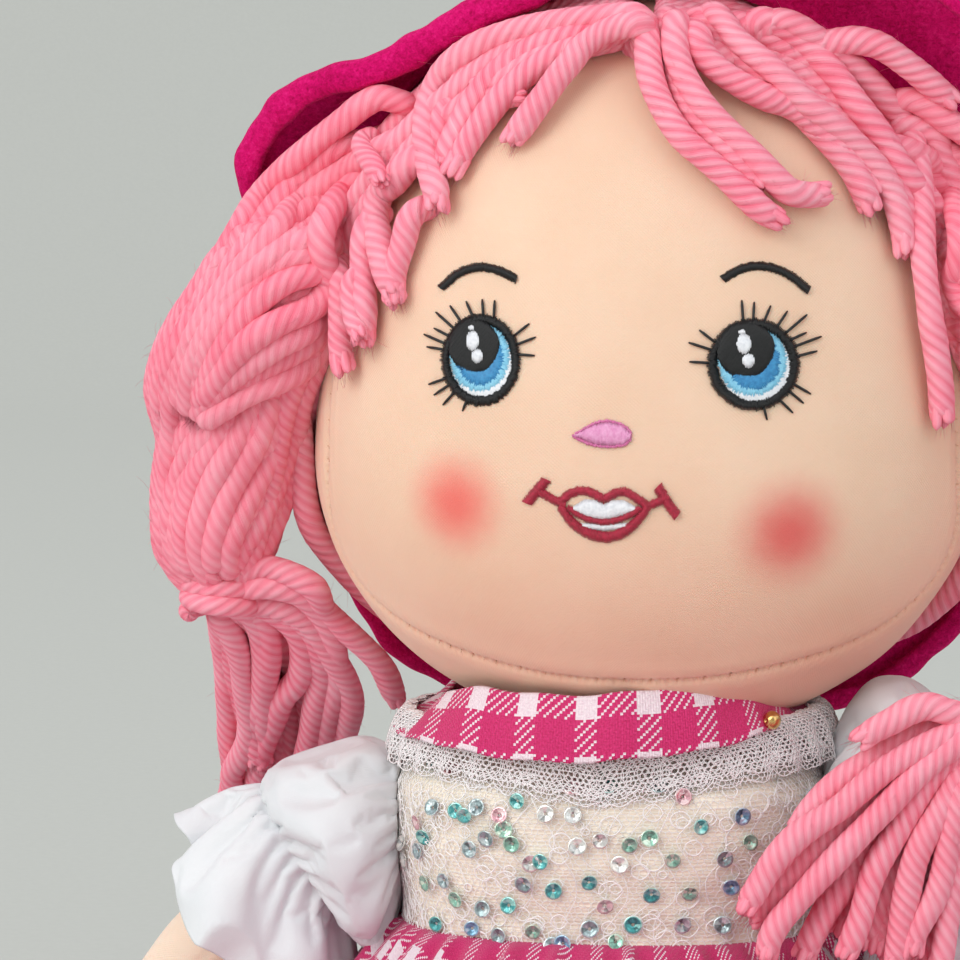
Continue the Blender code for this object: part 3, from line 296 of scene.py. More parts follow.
def yarn(mesh, points, seed, radius=YARN_RADIUS, wander=0.0004, step=YARN_STEP, frayed=True):
    """A strand of plied yarn along some points, its cut ends rounded."""
    chance = np.random.RandomState(seed)
    path = smooth_path(points, step)
    knots = max(3, int(len(path) * step / 0.011))
    spots = np.linspace(0, 1, len(path))
    for axis in range(3):
        offsets = chance.uniform(-wander, wander, knots)
        path[:, axis] += np.interp(spots, np.linspace(0, 1, knots), offsets)
    path = smooth_path(path[::max(1, len(path) // (knots * 3))], step)
    run = np.arange(len(path)) * step
    long = run[-1]
    even = np.concatenate([[0], YARN_TIP_STEPS, run[(run > 0.0019) & (run < long - 0.0019)],
                           long - YARN_TIP_STEPS[::-1], [long]])
    path = np.stack([np.interp(even, run, path[:, axis]) for axis in range(3)], axis=1)
    size = radius * chance.uniform(0.94, 1.07) * (1 + 0.06 * np.sin(even / 0.0034 + seed) * np.sin(even / 0.0093))
    nearest = np.minimum(even, long - even)
    size = size * np.sqrt(1 - (1 - np.clip(nearest / 0.0021, 0.004, 1)) ** 2)
    if frayed:
        size = size * (1 - 0.10 * np.clip(1 - (long - even) / 0.0060, 0, 1) ** 1.5)
    turn = np.arange(YARN_SIDES) * 2 * np.pi / YARN_SIDES
    depth = chance.uniform(0.03, 0.08)
    profile = 1 - depth + depth * np.sqrt(np.abs(np.cos(PLIES * turn / 2)))
    twist = -2 * np.pi / (YARN_LAY * chance.uniform(0.9, 1.25))
    grid, run = tube_grid(path, size, YARN_SIDES, profile, twist)
    shift = (seed * 7) % 97
    mesh.grid(grid, u=shift + np.arange(YARN_SIDES + 1) / YARN_SIDES, v=run / 0.01, closed=True, caps=(True, True))
    if frayed:
        ahead, normals, sideways = frames_along(path)
        phase = chance.uniform(0, 6.28)
        for ply in range(TUFTS):
            turn = phase + ply * 2 * np.pi / TUFTS + chance.uniform(-0.3, 0.3)
            out = normals[-6] * math.cos(turn) + sideways[-6] * math.sin(turn)
            tip = chance.uniform(0.0006, 0.0023)
            shares = np.linspace(0, 1, 9)[:, None]
            curve = path[-7] + out * radius * 0.52 + ahead[-6] * (0.0024 + tip) * shares
            curve = curve + (out * chance.uniform(-0.0002, 0.0005) + sideways[-6] * chance.uniform(-0.0004, 0.0004)) * shares ** 2
            widths = radius * 0.40 * np.sqrt(np.clip(1 - shares[:, 0] ** 5, 0.0025, 1))
            strand, strand_run = tube_grid(curve, widths, 8)
            mesh.grid(strand, u=shift + (ply + np.linspace(0.2, 0.8, 9)) / PLIES, v=run[-1] / 0.01 + strand_run / 0.01,
                      closed=True, caps=(True, True))
    return path


def fibre(mesh, start, way, bend, width):
    shares = np.linspace(0, 1, 5)[:, None]
    curve = start + way * shares + bend * shares ** 2
    grid, _ = tube_grid(curve, width * (1 - 0.6 * shares[:, 0]), 3)
    mesh.grid(grid, closed=True)


def fuzz(mesh, paths, seed, spacing=0.0022, reach=0.0022, width=0.00003, lift=YARN_RADIUS):
    """Fine loose fibres that stand off the strands, and more of them at their cut ends."""
    chance = np.random.RandomState(seed)
    for path in paths:
        ahead, normals, sideways = frames_along(path)
        length = np.linalg.norm(np.diff(path, axis=0), axis=1).sum()
        for _ in range(int(length / spacing)):
            i = chance.randint(2, len(path) - 2)
            turn = chance.uniform(0, 2 * np.pi)
            out = normals[i] * math.cos(turn) + sideways[i] * math.sin(turn)
            along = ahead[i] * chance.choice([-1, 1]) * chance.uniform(0.3, 1.4)
            size = reach * chance.uniform(0.4, 1.3)
            fibre(mesh, path[i] + out * lift * 0.9, (out * 0.75 + along) * size,
                  unit(chance.normal(size=3)) * size * 0.45, width)
        for _ in range(16):
            turn, share = chance.uniform(0, 2 * np.pi), chance.uniform(0.1, 0.85)
            out = normals[-1] * math.cos(turn) + sideways[-1] * math.sin(turn)
            size = chance.uniform(0.0006, 0.0022)
            fibre(mesh, path[-3] + out * lift * share, (ahead[-3] + out * 0.5 * share) * size + ahead[-3] * 0.0012,
                  unit(chance.normal(size=3)) * size * 0.4, width * 1.5)


# Finishes

def srgb(red, green, blue):
    """A colour as it is seen, in the shader's own scale."""
    def linear(value):
        value /= 255
        return value / 12.92 if value <= 0.04045 else ((value + 0.055) / 1.055) ** 2.4
    return (linear(red), linear(green), linear(blue), 1.0)


class Finish:
    """A material that is built up node by node."""

    def __init__(self, name, **settings):
        self.material = bpy.data.materials.new(name)
        self.material.use_nodes = True
        self.tree = self.material.node_tree
        self.shader = self.tree.nodes["Principled BSDF"]
        for key, value in settings.items():
            self.shader.inputs[key.replace("_", " ").title()].default_value = value

    def node(self, kind, inputs=None, **settings):
        made = self.tree.nodes.new("ShaderNode" + kind)
        for key, value in settings.items():
            setattr(made, key, value)
        for key, value in (inputs or {}).items():
            if isinstance(value, bpy.types.NodeSocket):
                self.tree.links.new(value, made.inputs[key])
            else:
                made.inputs[key].default_value = value
        return made

    def place(self, kind="Object"):
        return self.node("TexCoord").outputs[kind]

    def scaled(self, vector, scale):
        return self.node("Mapping", {"Vector": vector, "Scale": scale}).outputs[0]

    def noise(self, vector, scale, detail=2.0, rough=0.5):
        return self.node(
            "TexNoise", {"Vector": vector, "Scale": scale, "Detail": detail, "Roughness": rough}
        ).outputs[0]

    def math(self, operation, a, b=0.0, c=0.0):
        return self.node("Math", {0: a, 1: b, 2: c}, operation=operation).outputs[0]

    def mix(self, share, a, b, blend="MIX"):
        return self.node("Mix", {0: share, 6: a, 7: b}, data_type="RGBA", blend_type=blend).outputs[2]

    def ramp(self, share, low, high, out_low=0.0, out_high=1.0):
        return self.node("MapRange", {0: share, 1: low, 2: high, 3: out_low, 4: out_high}).outputs[0]

    def smooth(self, share, low, high):
        return self.node("MapRange", {0: share, 1: low, 2: high}, interpolation_type="SMOOTHSTEP").outputs[0]

    def split(self, vector):
        return self.node("SeparateXYZ", {0: vector}).outputs

    def link(self, name, socket):
        self.tree.links.new(socket, self.shader.inputs[name])

    def bump(self, height, distance, strength=1.0, normal=None):
        inputs = {"Strength": strength, "Distance": distance, "Height": height}
        if normal is not None:
            inputs["Normal"] = normal
        return self.node("Bump", inputs).outputs[0]


def weave_height(finish, uv, pitch):
    """Threads over and under, for a UV map in metres."""
    parts = finish.split(uv)
    across = finish.math("SINE", finish.math("MULTIPLY", parts[0], 2 * math.pi / pitch))
    along = finish.math("SINE", finish.math("MULTIPLY", parts[1], 2 * math.pi / pitch))
    return finish.math("MULTIPLY", across, along)


def skin_finish(name, low_tone, high_tone, blush=()):
    """Plain woven cotton. blush is the places and sizes of soft red discs; when it is given, the lower face also gets a
    pinker, darker painted shade and painted bounce light.
    """
    f = Finish(name, Roughness=0.82, Sheen_weight=0.12, Subsurface_weight=0.25, Subsurface_scale=0.003)
    f.shader.inputs["Subsurface Radius"].default_value = (1.0, 0.35, 0.25)
    place, uv = f.place(), f.place("UV")
    tone = f.noise(place, 38, 3)
    colour = f.mix(f.ramp(tone, 0.3, 0.7), low_tone, high_tone)
    height = f.split(place)[2]
    # Painted bounce light and painted shade: the lower face is tinted pinker and darker, for light thrown back from the
    # pink hair and hat.
    if blush:
        low = f.math("SUBTRACT", 1.0, f.smooth(height, 0.088, 0.142))
        colour = f.mix(f.math("MULTIPLY", low, 0.36), colour, srgb(238, 168, 146))
    for centre, reach, red in blush:
        away = f.node("VectorMath", {0: place, 1: tuple(centre)}, operation="DISTANCE").outputs["Value"]
        uneven = f.math("MULTIPLY", f.math("SUBTRACT", f.noise(place, 320, 2), 0.5), reach * 0.16)
        share = f.smooth(f.math("ADD", away, uneven), reach * 1.38, reach * 0.05)
        colour = f.mix(f.math("MULTIPLY", share, 0.86), colour, red)
    threads = weave_height(f, uv, 0.00062)
    fibres = f.noise(uv, 2600, 2, 0.6)
    colour = f.mix(f.math("MULTIPLY", f.ramp(threads, -1, 1), 0.06), colour, srgb(214, 165, 128))
    f.link("Base Color", colour)
    f.link("Normal", f.bump(f.math("ADD", threads, f.math("MULTIPLY", fibres, 1.4)), 0.00006, 0.36))
    f.link("Roughness", f.ramp(tone, 0.2, 0.8, 0.76, 0.9))
    return f.material


def yarn_finish(name, light, middle, deep, ply_shade=0.28, grooved=1.1):
    """Plied yarn for a UV map of turns round the strand and centimetres along it. The ply ridges are painted lighter
    and the valleys darker, as painted highlight and painted shade.
    """
    f = Finish(name, Roughness=0.95, Sheen_weight=0.10, Sheen_roughness=0.6)
    f.shader.inputs["Sheen Tint"].default_value = srgb(255, 150, 176)
    f.shader.inputs["Specular IOR Level"].default_value = 0.12
    uv = f.place("UV")
    parts = f.split(uv)
    patches = f.noise(f.place(), 130, 2)
    phase = f.math("ADD", f.math("MULTIPLY", parts[0], 2 * PLIES * math.pi),
                   f.math("MULTIPLY", f.math("SUBTRACT", patches, 0.5), 2.6))
    ply = f.math("POWER", f.ramp(f.math("COSINE", phase), -1, 1), 0.8)
    strand = f.node("TexWhiteNoise", {"W": f.math("FLOOR", parts[0])}, noise_dimensions="1D").outputs[0]
    streaks = f.noise(f.scaled(uv, (48, 1.6, 1)), 1.0, 3, 0.65)
    fine = f.noise(f.place(), 3600, 2, 0.65)
    # The ply pattern paints the ridges lighter and the valleys darker, as painted highlight and painted shade, over the
    # yarn's own streaks and patches.
    tone = f.math("ADD", f.math("MULTIPLY", ply, ply_shade), f.math("MULTIPLY", streaks, 0.55))
    tone = f.math("ADD", tone, f.math("MULTIPLY", f.math("SUBTRACT", patches, 0.5), 0.5))
    colour = f.mix(f.ramp(tone, 0.08, 0.46), deep, middle)
    colour = f.mix(f.ramp(tone, 0.44, 0.80), colour, light)
    colour = f.mix(f.math("MULTIPLY", strand, 0.25), colour, light)
    f.link("Base Color", colour)
    height = f.math("ADD", f.math("MULTIPLY", streaks, 0.8), f.math("MULTIPLY", fine, 0.5))
    height = f.math("ADD", height, f.math("MULTIPLY", ply, grooved))
    f.link("Normal", f.bump(height, 0.00026, 0.9))
    return f.material


def fleece_finish(name, light, middle, deep):
    """Napped fleece."""
    f = Finish(name, Roughness=0.95, Sheen_weight=0.4, Sheen_roughness=0.35)
    f.shader.inputs["Sheen Tint"].default_value = srgb(255, 70, 150)
    f.shader.inputs["Specular IOR Level"].default_value = 0.1
    place = f.place()
    tufts = f.noise(place, 950, 3, 0.65)
    fibres = f.noise(f.scaled(place, (1, 0.35, 1)), 2600, 2, 0.7)
    patches = f.noise(place, 90, 2)
    tone = f.math("ADD", f.math("MULTIPLY", tufts, 0.5), f.math("MULTIPLY", fibres, 0.3))
    tone = f.math("ADD", tone, f.math("MULTIPLY", patches, 0.25))
    colour = f.mix(f.ramp(tone, 0.35, 0.55), deep, middle)
    colour = f.mix(f.ramp(tone, 0.55, 0.75), colour, light)
    f.link("Base Color", colour)
    f.link("Normal", f.bump(f.math("ADD", tufts, f.math("MULTIPLY", fibres, 0.6)), 0.0005, 0.8))
    return f.material


CHECK = 0.0052
GINGHAM_THREAD = 0.00045
DYED_SHARE = 0.62


def gingham_finish(name):
    """Magenta and white checks of twill-woven cotton, for a UV map in metres."""
    f = Finish(name, Roughness=0.8, Sheen_weight=0.2)
    uv = f.place("UV")
    u, v, _ = f.split(uv)
    warp = f.math("FLOOR", f.math("DIVIDE", u, GINGHAM_THREAD))
    weft = f.math("FLOOR", f.math("DIVIDE", v, GINGHAM_THREAD))
    stripes = []
    for thread in (warp, weft):
        place = f.math("FRACT", f.math("MULTIPLY", f.math("ADD", thread, 0.5), GINGHAM_THREAD / (2 * CHECK)))
        stripes.append(f.math("LESS_THAN", place, DYED_SHARE))
    order = f.math("FRACT", f.math("MULTIPLY", f.math("ADD", f.math("ADD", warp, weft), 0.5), 0.25))
    warp_up = f.math("LESS_THAN", order, 0.70)
    both = f.math("ADD", f.math("ADD", stripes[0], stripes[1]), f.math("MULTIPLY", warp_up, 0.6))
    dyed = f.math("GREATER_THAN", both, 1.5)
    tone = f.noise(uv, 2400, 2, 0.6)
    magenta = f.mix(f.ramp(tone, 0.3, 0.7), srgb(196, 14, 90), srgb(222, 46, 122))
    white = f.mix(f.ramp(tone, 0.3, 0.7), srgb(236, 210, 222), srgb(250, 236, 242))
    f.link("Base Color", f.mix(dyed, white, magenta))
    bumps = [
        f.math("ABSOLUTE", f.math("SINE", f.math("MULTIPLY", part, math.pi / GINGHAM_THREAD))) for part in (u, v)
    ]
    height = f.mix(warp_up, bumps[1], bumps[0])
    f.link("Normal", f.bump(f.mix(0.25, height, tone), 0.00016, 0.8))
    return f.material


def satin_finish(name):
    f = Finish(name, Roughness=0.5, Sheen_weight=0.3)
    f.shader.inputs["Specular IOR Level"].default_value = 0.35
    uv = f.place("UV")
    tone = f.noise(f.place(), 60, 2)
    f.link("Base Color", f.mix(tone, srgb(212, 214, 219), srgb(230, 231, 233)))
    threads = f.noise(f.scaled(uv, (1, 0.12, 1)), 4200, 2, 0.5)
    wrinkles = f.noise(f.place(), 260, 2, 0.5)
    f.link("Normal", f.bump(f.math("ADD", threads, f.math("MULTIPLY", wrinkles, 3.0)), 0.00009, 0.5))
    f.link("Roughness", f.ramp(threads, 0.3, 0.7, 0.44, 0.58))
    return f.material


def rib_finish(name):
    """Beige ribbed cloth under the lace."""
    f = Finish(name, Roughness=0.8, Sheen_weight=0.2)
    uv = f.place("UV")
    rib = f.math("SINE", f.math("MULTIPLY", f.split(uv)[1], 2 * math.pi / 0.0007))
    tone = f.noise(f.place(), 130, 2)
    colour = f.mix(f.ramp(rib, -1, 1), srgb(250, 236, 216), srgb(255, 248, 234))
    f.link("Base Color", f.mix(f.math("MULTIPLY", tone, 0.3), colour, srgb(252, 244, 234)))
    f.link("Normal", f.bump(rib, 0.00008, 0.5))
    return f.material


def thread_finish(name, colour, other, rough=0.5, sheen=0.15):
    """Embroidery or lace thread, its strands twisted."""
    f = Finish(name, Roughness=rough, Sheen_weight=sheen)
    place = f.place()
    tone = f.noise(place, 1500, 2, 0.6)
    f.link("Base Color", f.mix(f.ramp(tone, 0.3, 0.7), colour, other))
    twist = f.noise(f.scaled(f.place("UV"), (3, 9, 1)), 2.0, 1)
    f.link("Normal", f.bump(f.math("ADD", tone, twist), 0.00006, 0.5))
    return f.material


def sequin_finish(name, colour, edge):
    """A thin glossy disc whose facets are painted lighter and darker at random, as painted glints and painted shade,
    with a lighter rim.
    """
    f = Finish(name, Roughness=0.2, Metallic=0.5, Coat_weight=0.5, Coat_roughness=0.12)
    turn, rim, _ = f.split(f.place("UV"))
    # Painted glints and painted shade: each facet gets a random tone, from a darkened copy of the colour up to the
    # light edge colour.
    facet = f.node("TexWhiteNoise", {"W": f.math("FLOOR", f.math("MULTIPLY", turn, 9.0))}, noise_dimensions="1D")
    swirl = f.noise(f.place(), 1300, 1)
    tone = f.math("ADD", f.math("MULTIPLY", facet.outputs[0], 0.6), f.math("MULTIPLY", swirl, 0.6))
    dark = tuple(0.35 * part for part in colour[:3]) + (1.0,)
    shade = f.mix(f.smooth(tone, 0.2, 0.55), dark, colour)
    shade = f.mix(f.smooth(tone, 0.55, 0.95), shade, edge)
    shade = f.mix(f.smooth(rim, 0.70, 1.0), shade, edge)
    f.link("Base Color", shade)
    f.link("Normal", f.bump(tone, 0.0003, 0.6))
    return f.material


# Where the blush lies, from its pixels
BLUSH_PX = ((455, 503), (790, 533))
blush_places = [on_face(*px) for px in BLUSH_PX]

FINISH = {
    "skin": skin_finish("skin_cloth", srgb(240, 212, 190), srgb(245, 221, 202)),
    "face": skin_finish("face_cloth", srgb(234, 196, 169), srgb(240, 206, 181), [
        (blush_places[0], 0.0088, srgb(236, 92, 88)), (blush_places[1], 0.0096, srgb(222, 74, 78))
    ]),
    # Yarn colours: light is also the painted highlight on the ply ridges, deep the painted shade in their valleys; both
    # also serve the random tone.
    "yarn": yarn_finish("pink_yarn", srgb(255, 190, 204), srgb(255, 148, 169), srgb(246, 92, 122)),
    "soft_yarn": yarn_finish("soft_yarn", srgb(255, 184, 198), srgb(255, 148, 168), srgb(246, 98, 126), 0.22, 0.7),
    # A darker, redder yarn for the bunch's core: painted shade in the gaps between strands.
    "painted_shade_yarn": yarn_finish("painted_shade_yarn", srgb(244, 96, 122), srgb(232, 66, 96), srgb(214, 44, 74)),
    "fleece": fleece_finish("magenta_fleece", srgb(236, 48, 136), srgb(210, 14, 104), srgb(160, 3, 66)),
    "gingham": gingham_finish("gingham_cotton"),
    "satin": satin_finish("white_satin"),
    "rib": rib_finish("ribbed_cloth"),
    "neck_lace": thread_finish("neck_lace_thread", srgb(255, 248, 250), srgb(255, 255, 255), 0.8),
    "lace": thread_finish("lace_thread", srgb(255, 250, 249), srgb(255, 255, 255), 0.7),
    "black": thread_finish("black_stitches", srgb(8, 8, 9), srgb(20, 20, 22), 0.45, 0.0),
    "white": thread_finish("white_stitches", srgb(222, 224, 230), srgb(246, 246, 250), 0.5),
    "blue": thread_finish("blue_stitches", srgb(40, 122, 178), srgb(60, 150, 202), 0.42),
    "sky": thread_finish("sky_stitches", srgb(120, 192, 224), srgb(152, 214, 238), 0.42),
    "pink": thread_finish("pink_stitches", srgb(224, 142, 190), srgb(240, 176, 214), 0.5),
    "rose": thread_finish("rose_stitches", srgb(214, 108, 164), srgb(226, 130, 182), 0.5),
    "red": thread_finish("red_stitches", srgb(150, 14, 44), srgb(186, 30, 64), 0.5),
    "seam": thread_finish("seam_thread", srgb(214, 164, 132), srgb(228, 182, 150), 0.8),
}
# Each sequin's own colour, and a light colour that also paints its glints and its rim.
SEQUINS = {
    "teal": (srgb(74, 170, 172), srgb(176, 226, 216)), "blue": (srgb(112, 164, 196), srgb(200, 222, 238)),
    "green": (srgb(142, 198, 178), srgb(222, 240, 220)), "clear": (srgb(214, 216, 214), srgb(250, 246, 240)),
    "grey": (srgb(150, 172, 176), srgb(216, 228, 230)), "pink": (srgb(226, 168, 178), srgb(248, 220, 220)),
}
SEQUIN_FINISH = {name: sequin_finish(f"sequin_{name}", *colours) for name, colours in SEQUINS.items()}


def put(piece, body, nodes=()):
    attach(piece, body)
    if nodes:
        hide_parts(*nodes)
    return piece


# The head

SEAM_REACH = math.radians(82)


def seam_curve():
    """The seam under the chin and up both sides, as places on the head."""
    spots = []
    for turn in np.linspace(-SEAM_REACH, SEAM_REACH, 121):
        spots.append((0.0575 * math.sin(turn), -0.0385 * math.cos(turn) ** 0.6))
    side = [(0.93 * HEAD_HALF_WIDTH * math.sqrt(1 - (z / HEAD_ABOVE) ** 2), z) for z in np.linspace(0.0, 0.05, 30)]
    spots = [(-x, z) for x, z in reversed(side)] + spots + side
    places = []
    for x, z in spots:
        height = HEAD_ABOVE if z > 0 else HEAD_BELOW
        inside = max(0.0, 1 - (x / HEAD_HALF_WIDTH) ** 2 - (z / height) ** 2)
        places.append(HEAD + np.array([x, -HEAD_FRONT * math.sqrt(inside), z]))
    return smooth_path(places, 0.0008)


def head_grow(points, normals):
    """Soft lumps of filling and the pulled-in seam, as a height for every point."""
    seam = seam_curve()
    away = np.full(len(points), 1.0)
    for start in range(0, len(points), 20000):
        part = points[start:start + 20000]
        away[start:start + 20000] = np.sqrt(((part[:, None, :] - seam[None, ::2, :]) ** 2).sum(2)).min(1)
    grow = -0.0009 * np.exp(-(away / 0.0007) ** 2) + 0.0002 * np.exp(-((away - 0.0030) / 0.0018) ** 2)
    lumps = (
        np.sin(points[:, 0] * 95 + 1.3) * np.sin(points[:, 2] * 110 + 0.4) * np.cos(points[:, 1] * 90)
        + 0.6 * np.sin(points[:, 0] * 210 + points[:, 2] * 170)
    )
    along = np.arctan2(points[:, 0] - NECK_X, -(points[:, 1]))
    pucker = np.exp(-(away / 0.0045) ** 2) * np.sin(along * 190) * 0.00007
    return grow + 0.00016 * lumps + pucker


def make_head():
    columns = 600
    turns = np.arange(columns) * 2 * np.pi / columns
    low = math.asin((HEAD_BASE_Z - HEAD[2]) / HEAD_BELOW)
    tilts = np.concatenate([np.linspace(math.pi / 2 - 0.004, 0, 110), np.linspace(0, low, 131)[1:]])
    depth = np.where(np.cos(turns) > 0, HEAD_FRONT, HEAD_BACK)
    rows = []
    for tilt in tilts:
        height = HEAD_ABOVE if tilt > 0 else HEAD_BELOW
        rows.append(np.stack([
            HEAD_HALF_WIDTH * math.cos(tilt) * np.sin(turns), -depth * math.cos(tilt) * np.cos(turns),
            np.full(columns, height * math.sin(tilt))
        ], 1) + HEAD)
    grid = np.stack(rows)
    flat = grid.reshape(-1, 3)
    size = np.stack([
        np.full(len(flat), HEAD_HALF_WIDTH), np.where(flat[:, 1] < 0, HEAD_FRONT, HEAD_BACK),
        np.where(flat[:, 2] > HEAD[2], HEAD_ABOVE, HEAD_BELOW)
    ], 1)
    normals = (flat - HEAD) / size ** 2
    normals /= np.linalg.norm(normals, axis=1)[:, None]
    grid = (flat + normals * head_grow(flat, normals)[:, None]).reshape(grid.shape)
    rim = grid[-1]
    closing = []
    for share, z in ((0.985, HEAD_BASE_Z - 0.0004), (0.9, HEAD_BASE_Z - 0.0002), (0.6, HEAD_BASE_Z)):
        ring = rim * share + np.array([NECK_X, 0, 0]) * (1 - share)
        ring[:, 2] = z
        closing.append(ring)
    for radius, z in ((0.0125, HEAD_BASE_Z), (0.0120, HEAD_BASE_Z + 0.0008), (0.0120, 0.0995)):
        closing.append(np.stack([
            NECK_X + radius * np.sin(turns), -radius * np.cos(turns), np.full(columns, z)
        ], 1))
    grid = np.concatenate([grid, np.stack(closing)])[:, ::-1]
    steps = np.linalg.norm(np.diff(grid, axis=0), axis=2).mean(1)
    mesh = Mesh()
    mesh.grid(grid, u=np.linspace(0, 2 * np.pi * 0.054, columns + 1), v=np.concatenate([[0], np.cumsum(steps)]),
              closed=True, caps=(True, True))
    head = put(mesh.build("head_cloth", FINISH["face"]), "head", ["head", "chin_seam"])

    stitches = Mesh()
    seam = seam_curve()
    ahead, normals, sideways = frames_along(seam)
    for i in range(3, len(seam) - 3, 3):
        out = unit((seam[i] - HEAD) / np.array([HEAD_HALF_WIDTH, HEAD_FRONT, HEAD_BELOW]) ** 2)
        across = unit(np.cross(out, ahead[i]))
        lean = unit(across + 0.35 * ahead[i])
        spots = [seam[i] + lean * s * 0.0005 - out * (0.00030 + 0.0003 * (1 - s * s)) for s in (-1, -0.4, 0.4, 1)]
        grid, run = tube_grid(smooth_path(spots, 0.0003), 0.00009, 5)
        stitches.grid(grid, v=run / 0.001, closed=True)
    put(stitches.build("chin_stitches", FINISH["seam"]), "head", ())


# Embroidery, laid stitch by stitch over the face

STITCH_RADIUS = 0.00017


def stitch(mesh, start, end, lift=0.00015, radius=STITCH_RADIUS, crown=0.00025, sides=6):
    """A thread between two pixels, pulled down at both ends and standing up between them."""
    start, end = np.asarray(start, float), np.asarray(end, float)
    count = max(3, int(np.linalg.norm(end - start) / 6) + 2)
    path = []
    for share in np.linspace(0, 1, count):
        px = start + (end - start) * share
        path.append(on_face(px[0], px[1], lift + crown * math.sin(math.pi * share) ** 0.5))
    path = np.array(path)
    sizes = np.full(count, radius)
    sizes[0] = sizes[-1] = radius * 0.6
    grid, run = tube_grid(path, sizes, sides)
    mesh.grid(grid, v=run / 0.001, closed=True, caps=(True, True))


def band(mesh, points, width, seed, pitch=1.45, lean=0.0, **settings):
    """Satin stitches across a curved line of pixels. width is in pixels, all along or as (share, width) pairs."""
    chance = random.Random(seed)
    line = smooth_path([(x, y, 0) for x, y in points], pitch)
    ahead = np.gradient(line, axis=0)
    for i, place in enumerate(line):
        share = i / (len(line) - 1)
        size = width if not isinstance(width, (list, tuple)) else np.interp(share, *zip(*width))
        way = unit(ahead[i])
        across = np.array([-way[1], way[0]]) + lean * way[:2]
        a = place[:2] - across * (size / 2 + chance.uniform(-0.6, 0.7))
        b = place[:2] + across * (size / 2 + chance.uniform(-0.6, 0.7))
        stitch(mesh, a, b, **settings)


def fan(mesh, centre, inner, outer, squeeze, seed, count, jag=(0.8, 0.8), turns=(0, 360), **settings):
    """Satin stitches that run out from a centre, between two radii in pixels."""
    chance = random.Random(seed)
    for i in range(count):
        turn = math.radians(turns[0] + (turns[1] - turns[0]) * (i + 0.5) / count)
        way = np.array([math.cos(turn) * squeeze, math.sin(turn)])
        a = np.asarray(centre) + way * (inner + chance.uniform(-jag[0], jag[0]))
        b = np.asarray(centre) + way * (outer + chance.uniform(-jag[1], jag[1]))
        stitch(mesh, a, b, **settings)


def fill_disc(mesh, centre, radii, seed, angle=0.0, pitch=1.5, **settings):
    """Parallel satin stitches that fill an oval."""
    chance = random.Random(seed)
    way = np.array([math.cos(angle), math.sin(angle)])
    side = np.array([-way[1], way[0]])
    reach = float(np.hypot(*(side * radii)))
    for offset in np.arange(-reach + pitch / 2, reach, pitch):
        share = offset / reach
        half = float(np.hypot(*(way * radii))) * math.sqrt(max(0.0, 1 - share * share))
        a = np.asarray(centre) + side * offset - way * (half + chance.uniform(-0.7, 0.7))
        b = np.asarray(centre) + side * offset + way * (half + chance.uniform(-0.7, 0.7))
        stitch(mesh, a, b, **settings)


LASHES = {
    "right": ((380, 258, 425, 295), (420, 240, 450, 280), (465, 228, 485, 262), (510, 222, 515, 258),
              (545, 225, 548, 262), (612, 315, 642, 290), (615, 345, 660, 328), (615, 372, 657, 380),
              (347, 320, 405, 345), (375, 303, 415, 320), (355, 355, 400, 360), (360, 460, 405, 448),
              (375, 490, 415, 465), (400, 518, 428, 488), (455, 535, 465, 512)),
    "left": ((1237, 225, 1237, 275), (1272, 230, 1268, 275), (1318, 240, 1298, 280), (1365, 255, 1338, 295),
             (1420, 265, 1368, 308), (1378, 330, 1418, 315), (1388, 352, 1460, 326), (1395, 382, 1448, 367),
             (1118, 308, 1152, 338), (1088, 343, 1148, 362), (1090, 397, 1138, 400), (1383, 458, 1430, 487),
             (1375, 482, 1410, 513), (1345, 510, 1380, 540), (1300, 530, 1308, 560)),
}
# Ring centre, ring half-widths, white, blue and pupil centres, and the highlights, in pixels
EYES = {
    "left": {"ring": (753.5, 364.5), "squeeze": 1.0, "white": (757, 368), "blue": (753, 362), "pupil": (746, 350),
             "lights": (((744, 344), (7.2, 10.5)), ((748.5, 360.5), (6.0, 7.5)), ((742, 332), (3.2, 2.4)))},
    "right": {"ring": (480.5, 360), "squeeze": 0.86, "white": (483, 364), "blue": (480, 358), "pupil": (474, 346),
              "lights": (((472.5, 341), (6.4, 10.5)), ((477, 356), (5.6, 7.5)), ((471, 328), (2.8, 2.4)))},
}
BROWS = {
    "right": ((441, 288), (457, 274), (479, 267), (500, 271), (516, 279)),
    "left": ((723, 279), (741, 269), (761, 266), (784, 272), (809, 290)),
}


def crop_px(x, y):
    """Pixels of the frame for pixels of the enlarged face."""
    return 300 + x / 2.8, 220 + y / 2.8


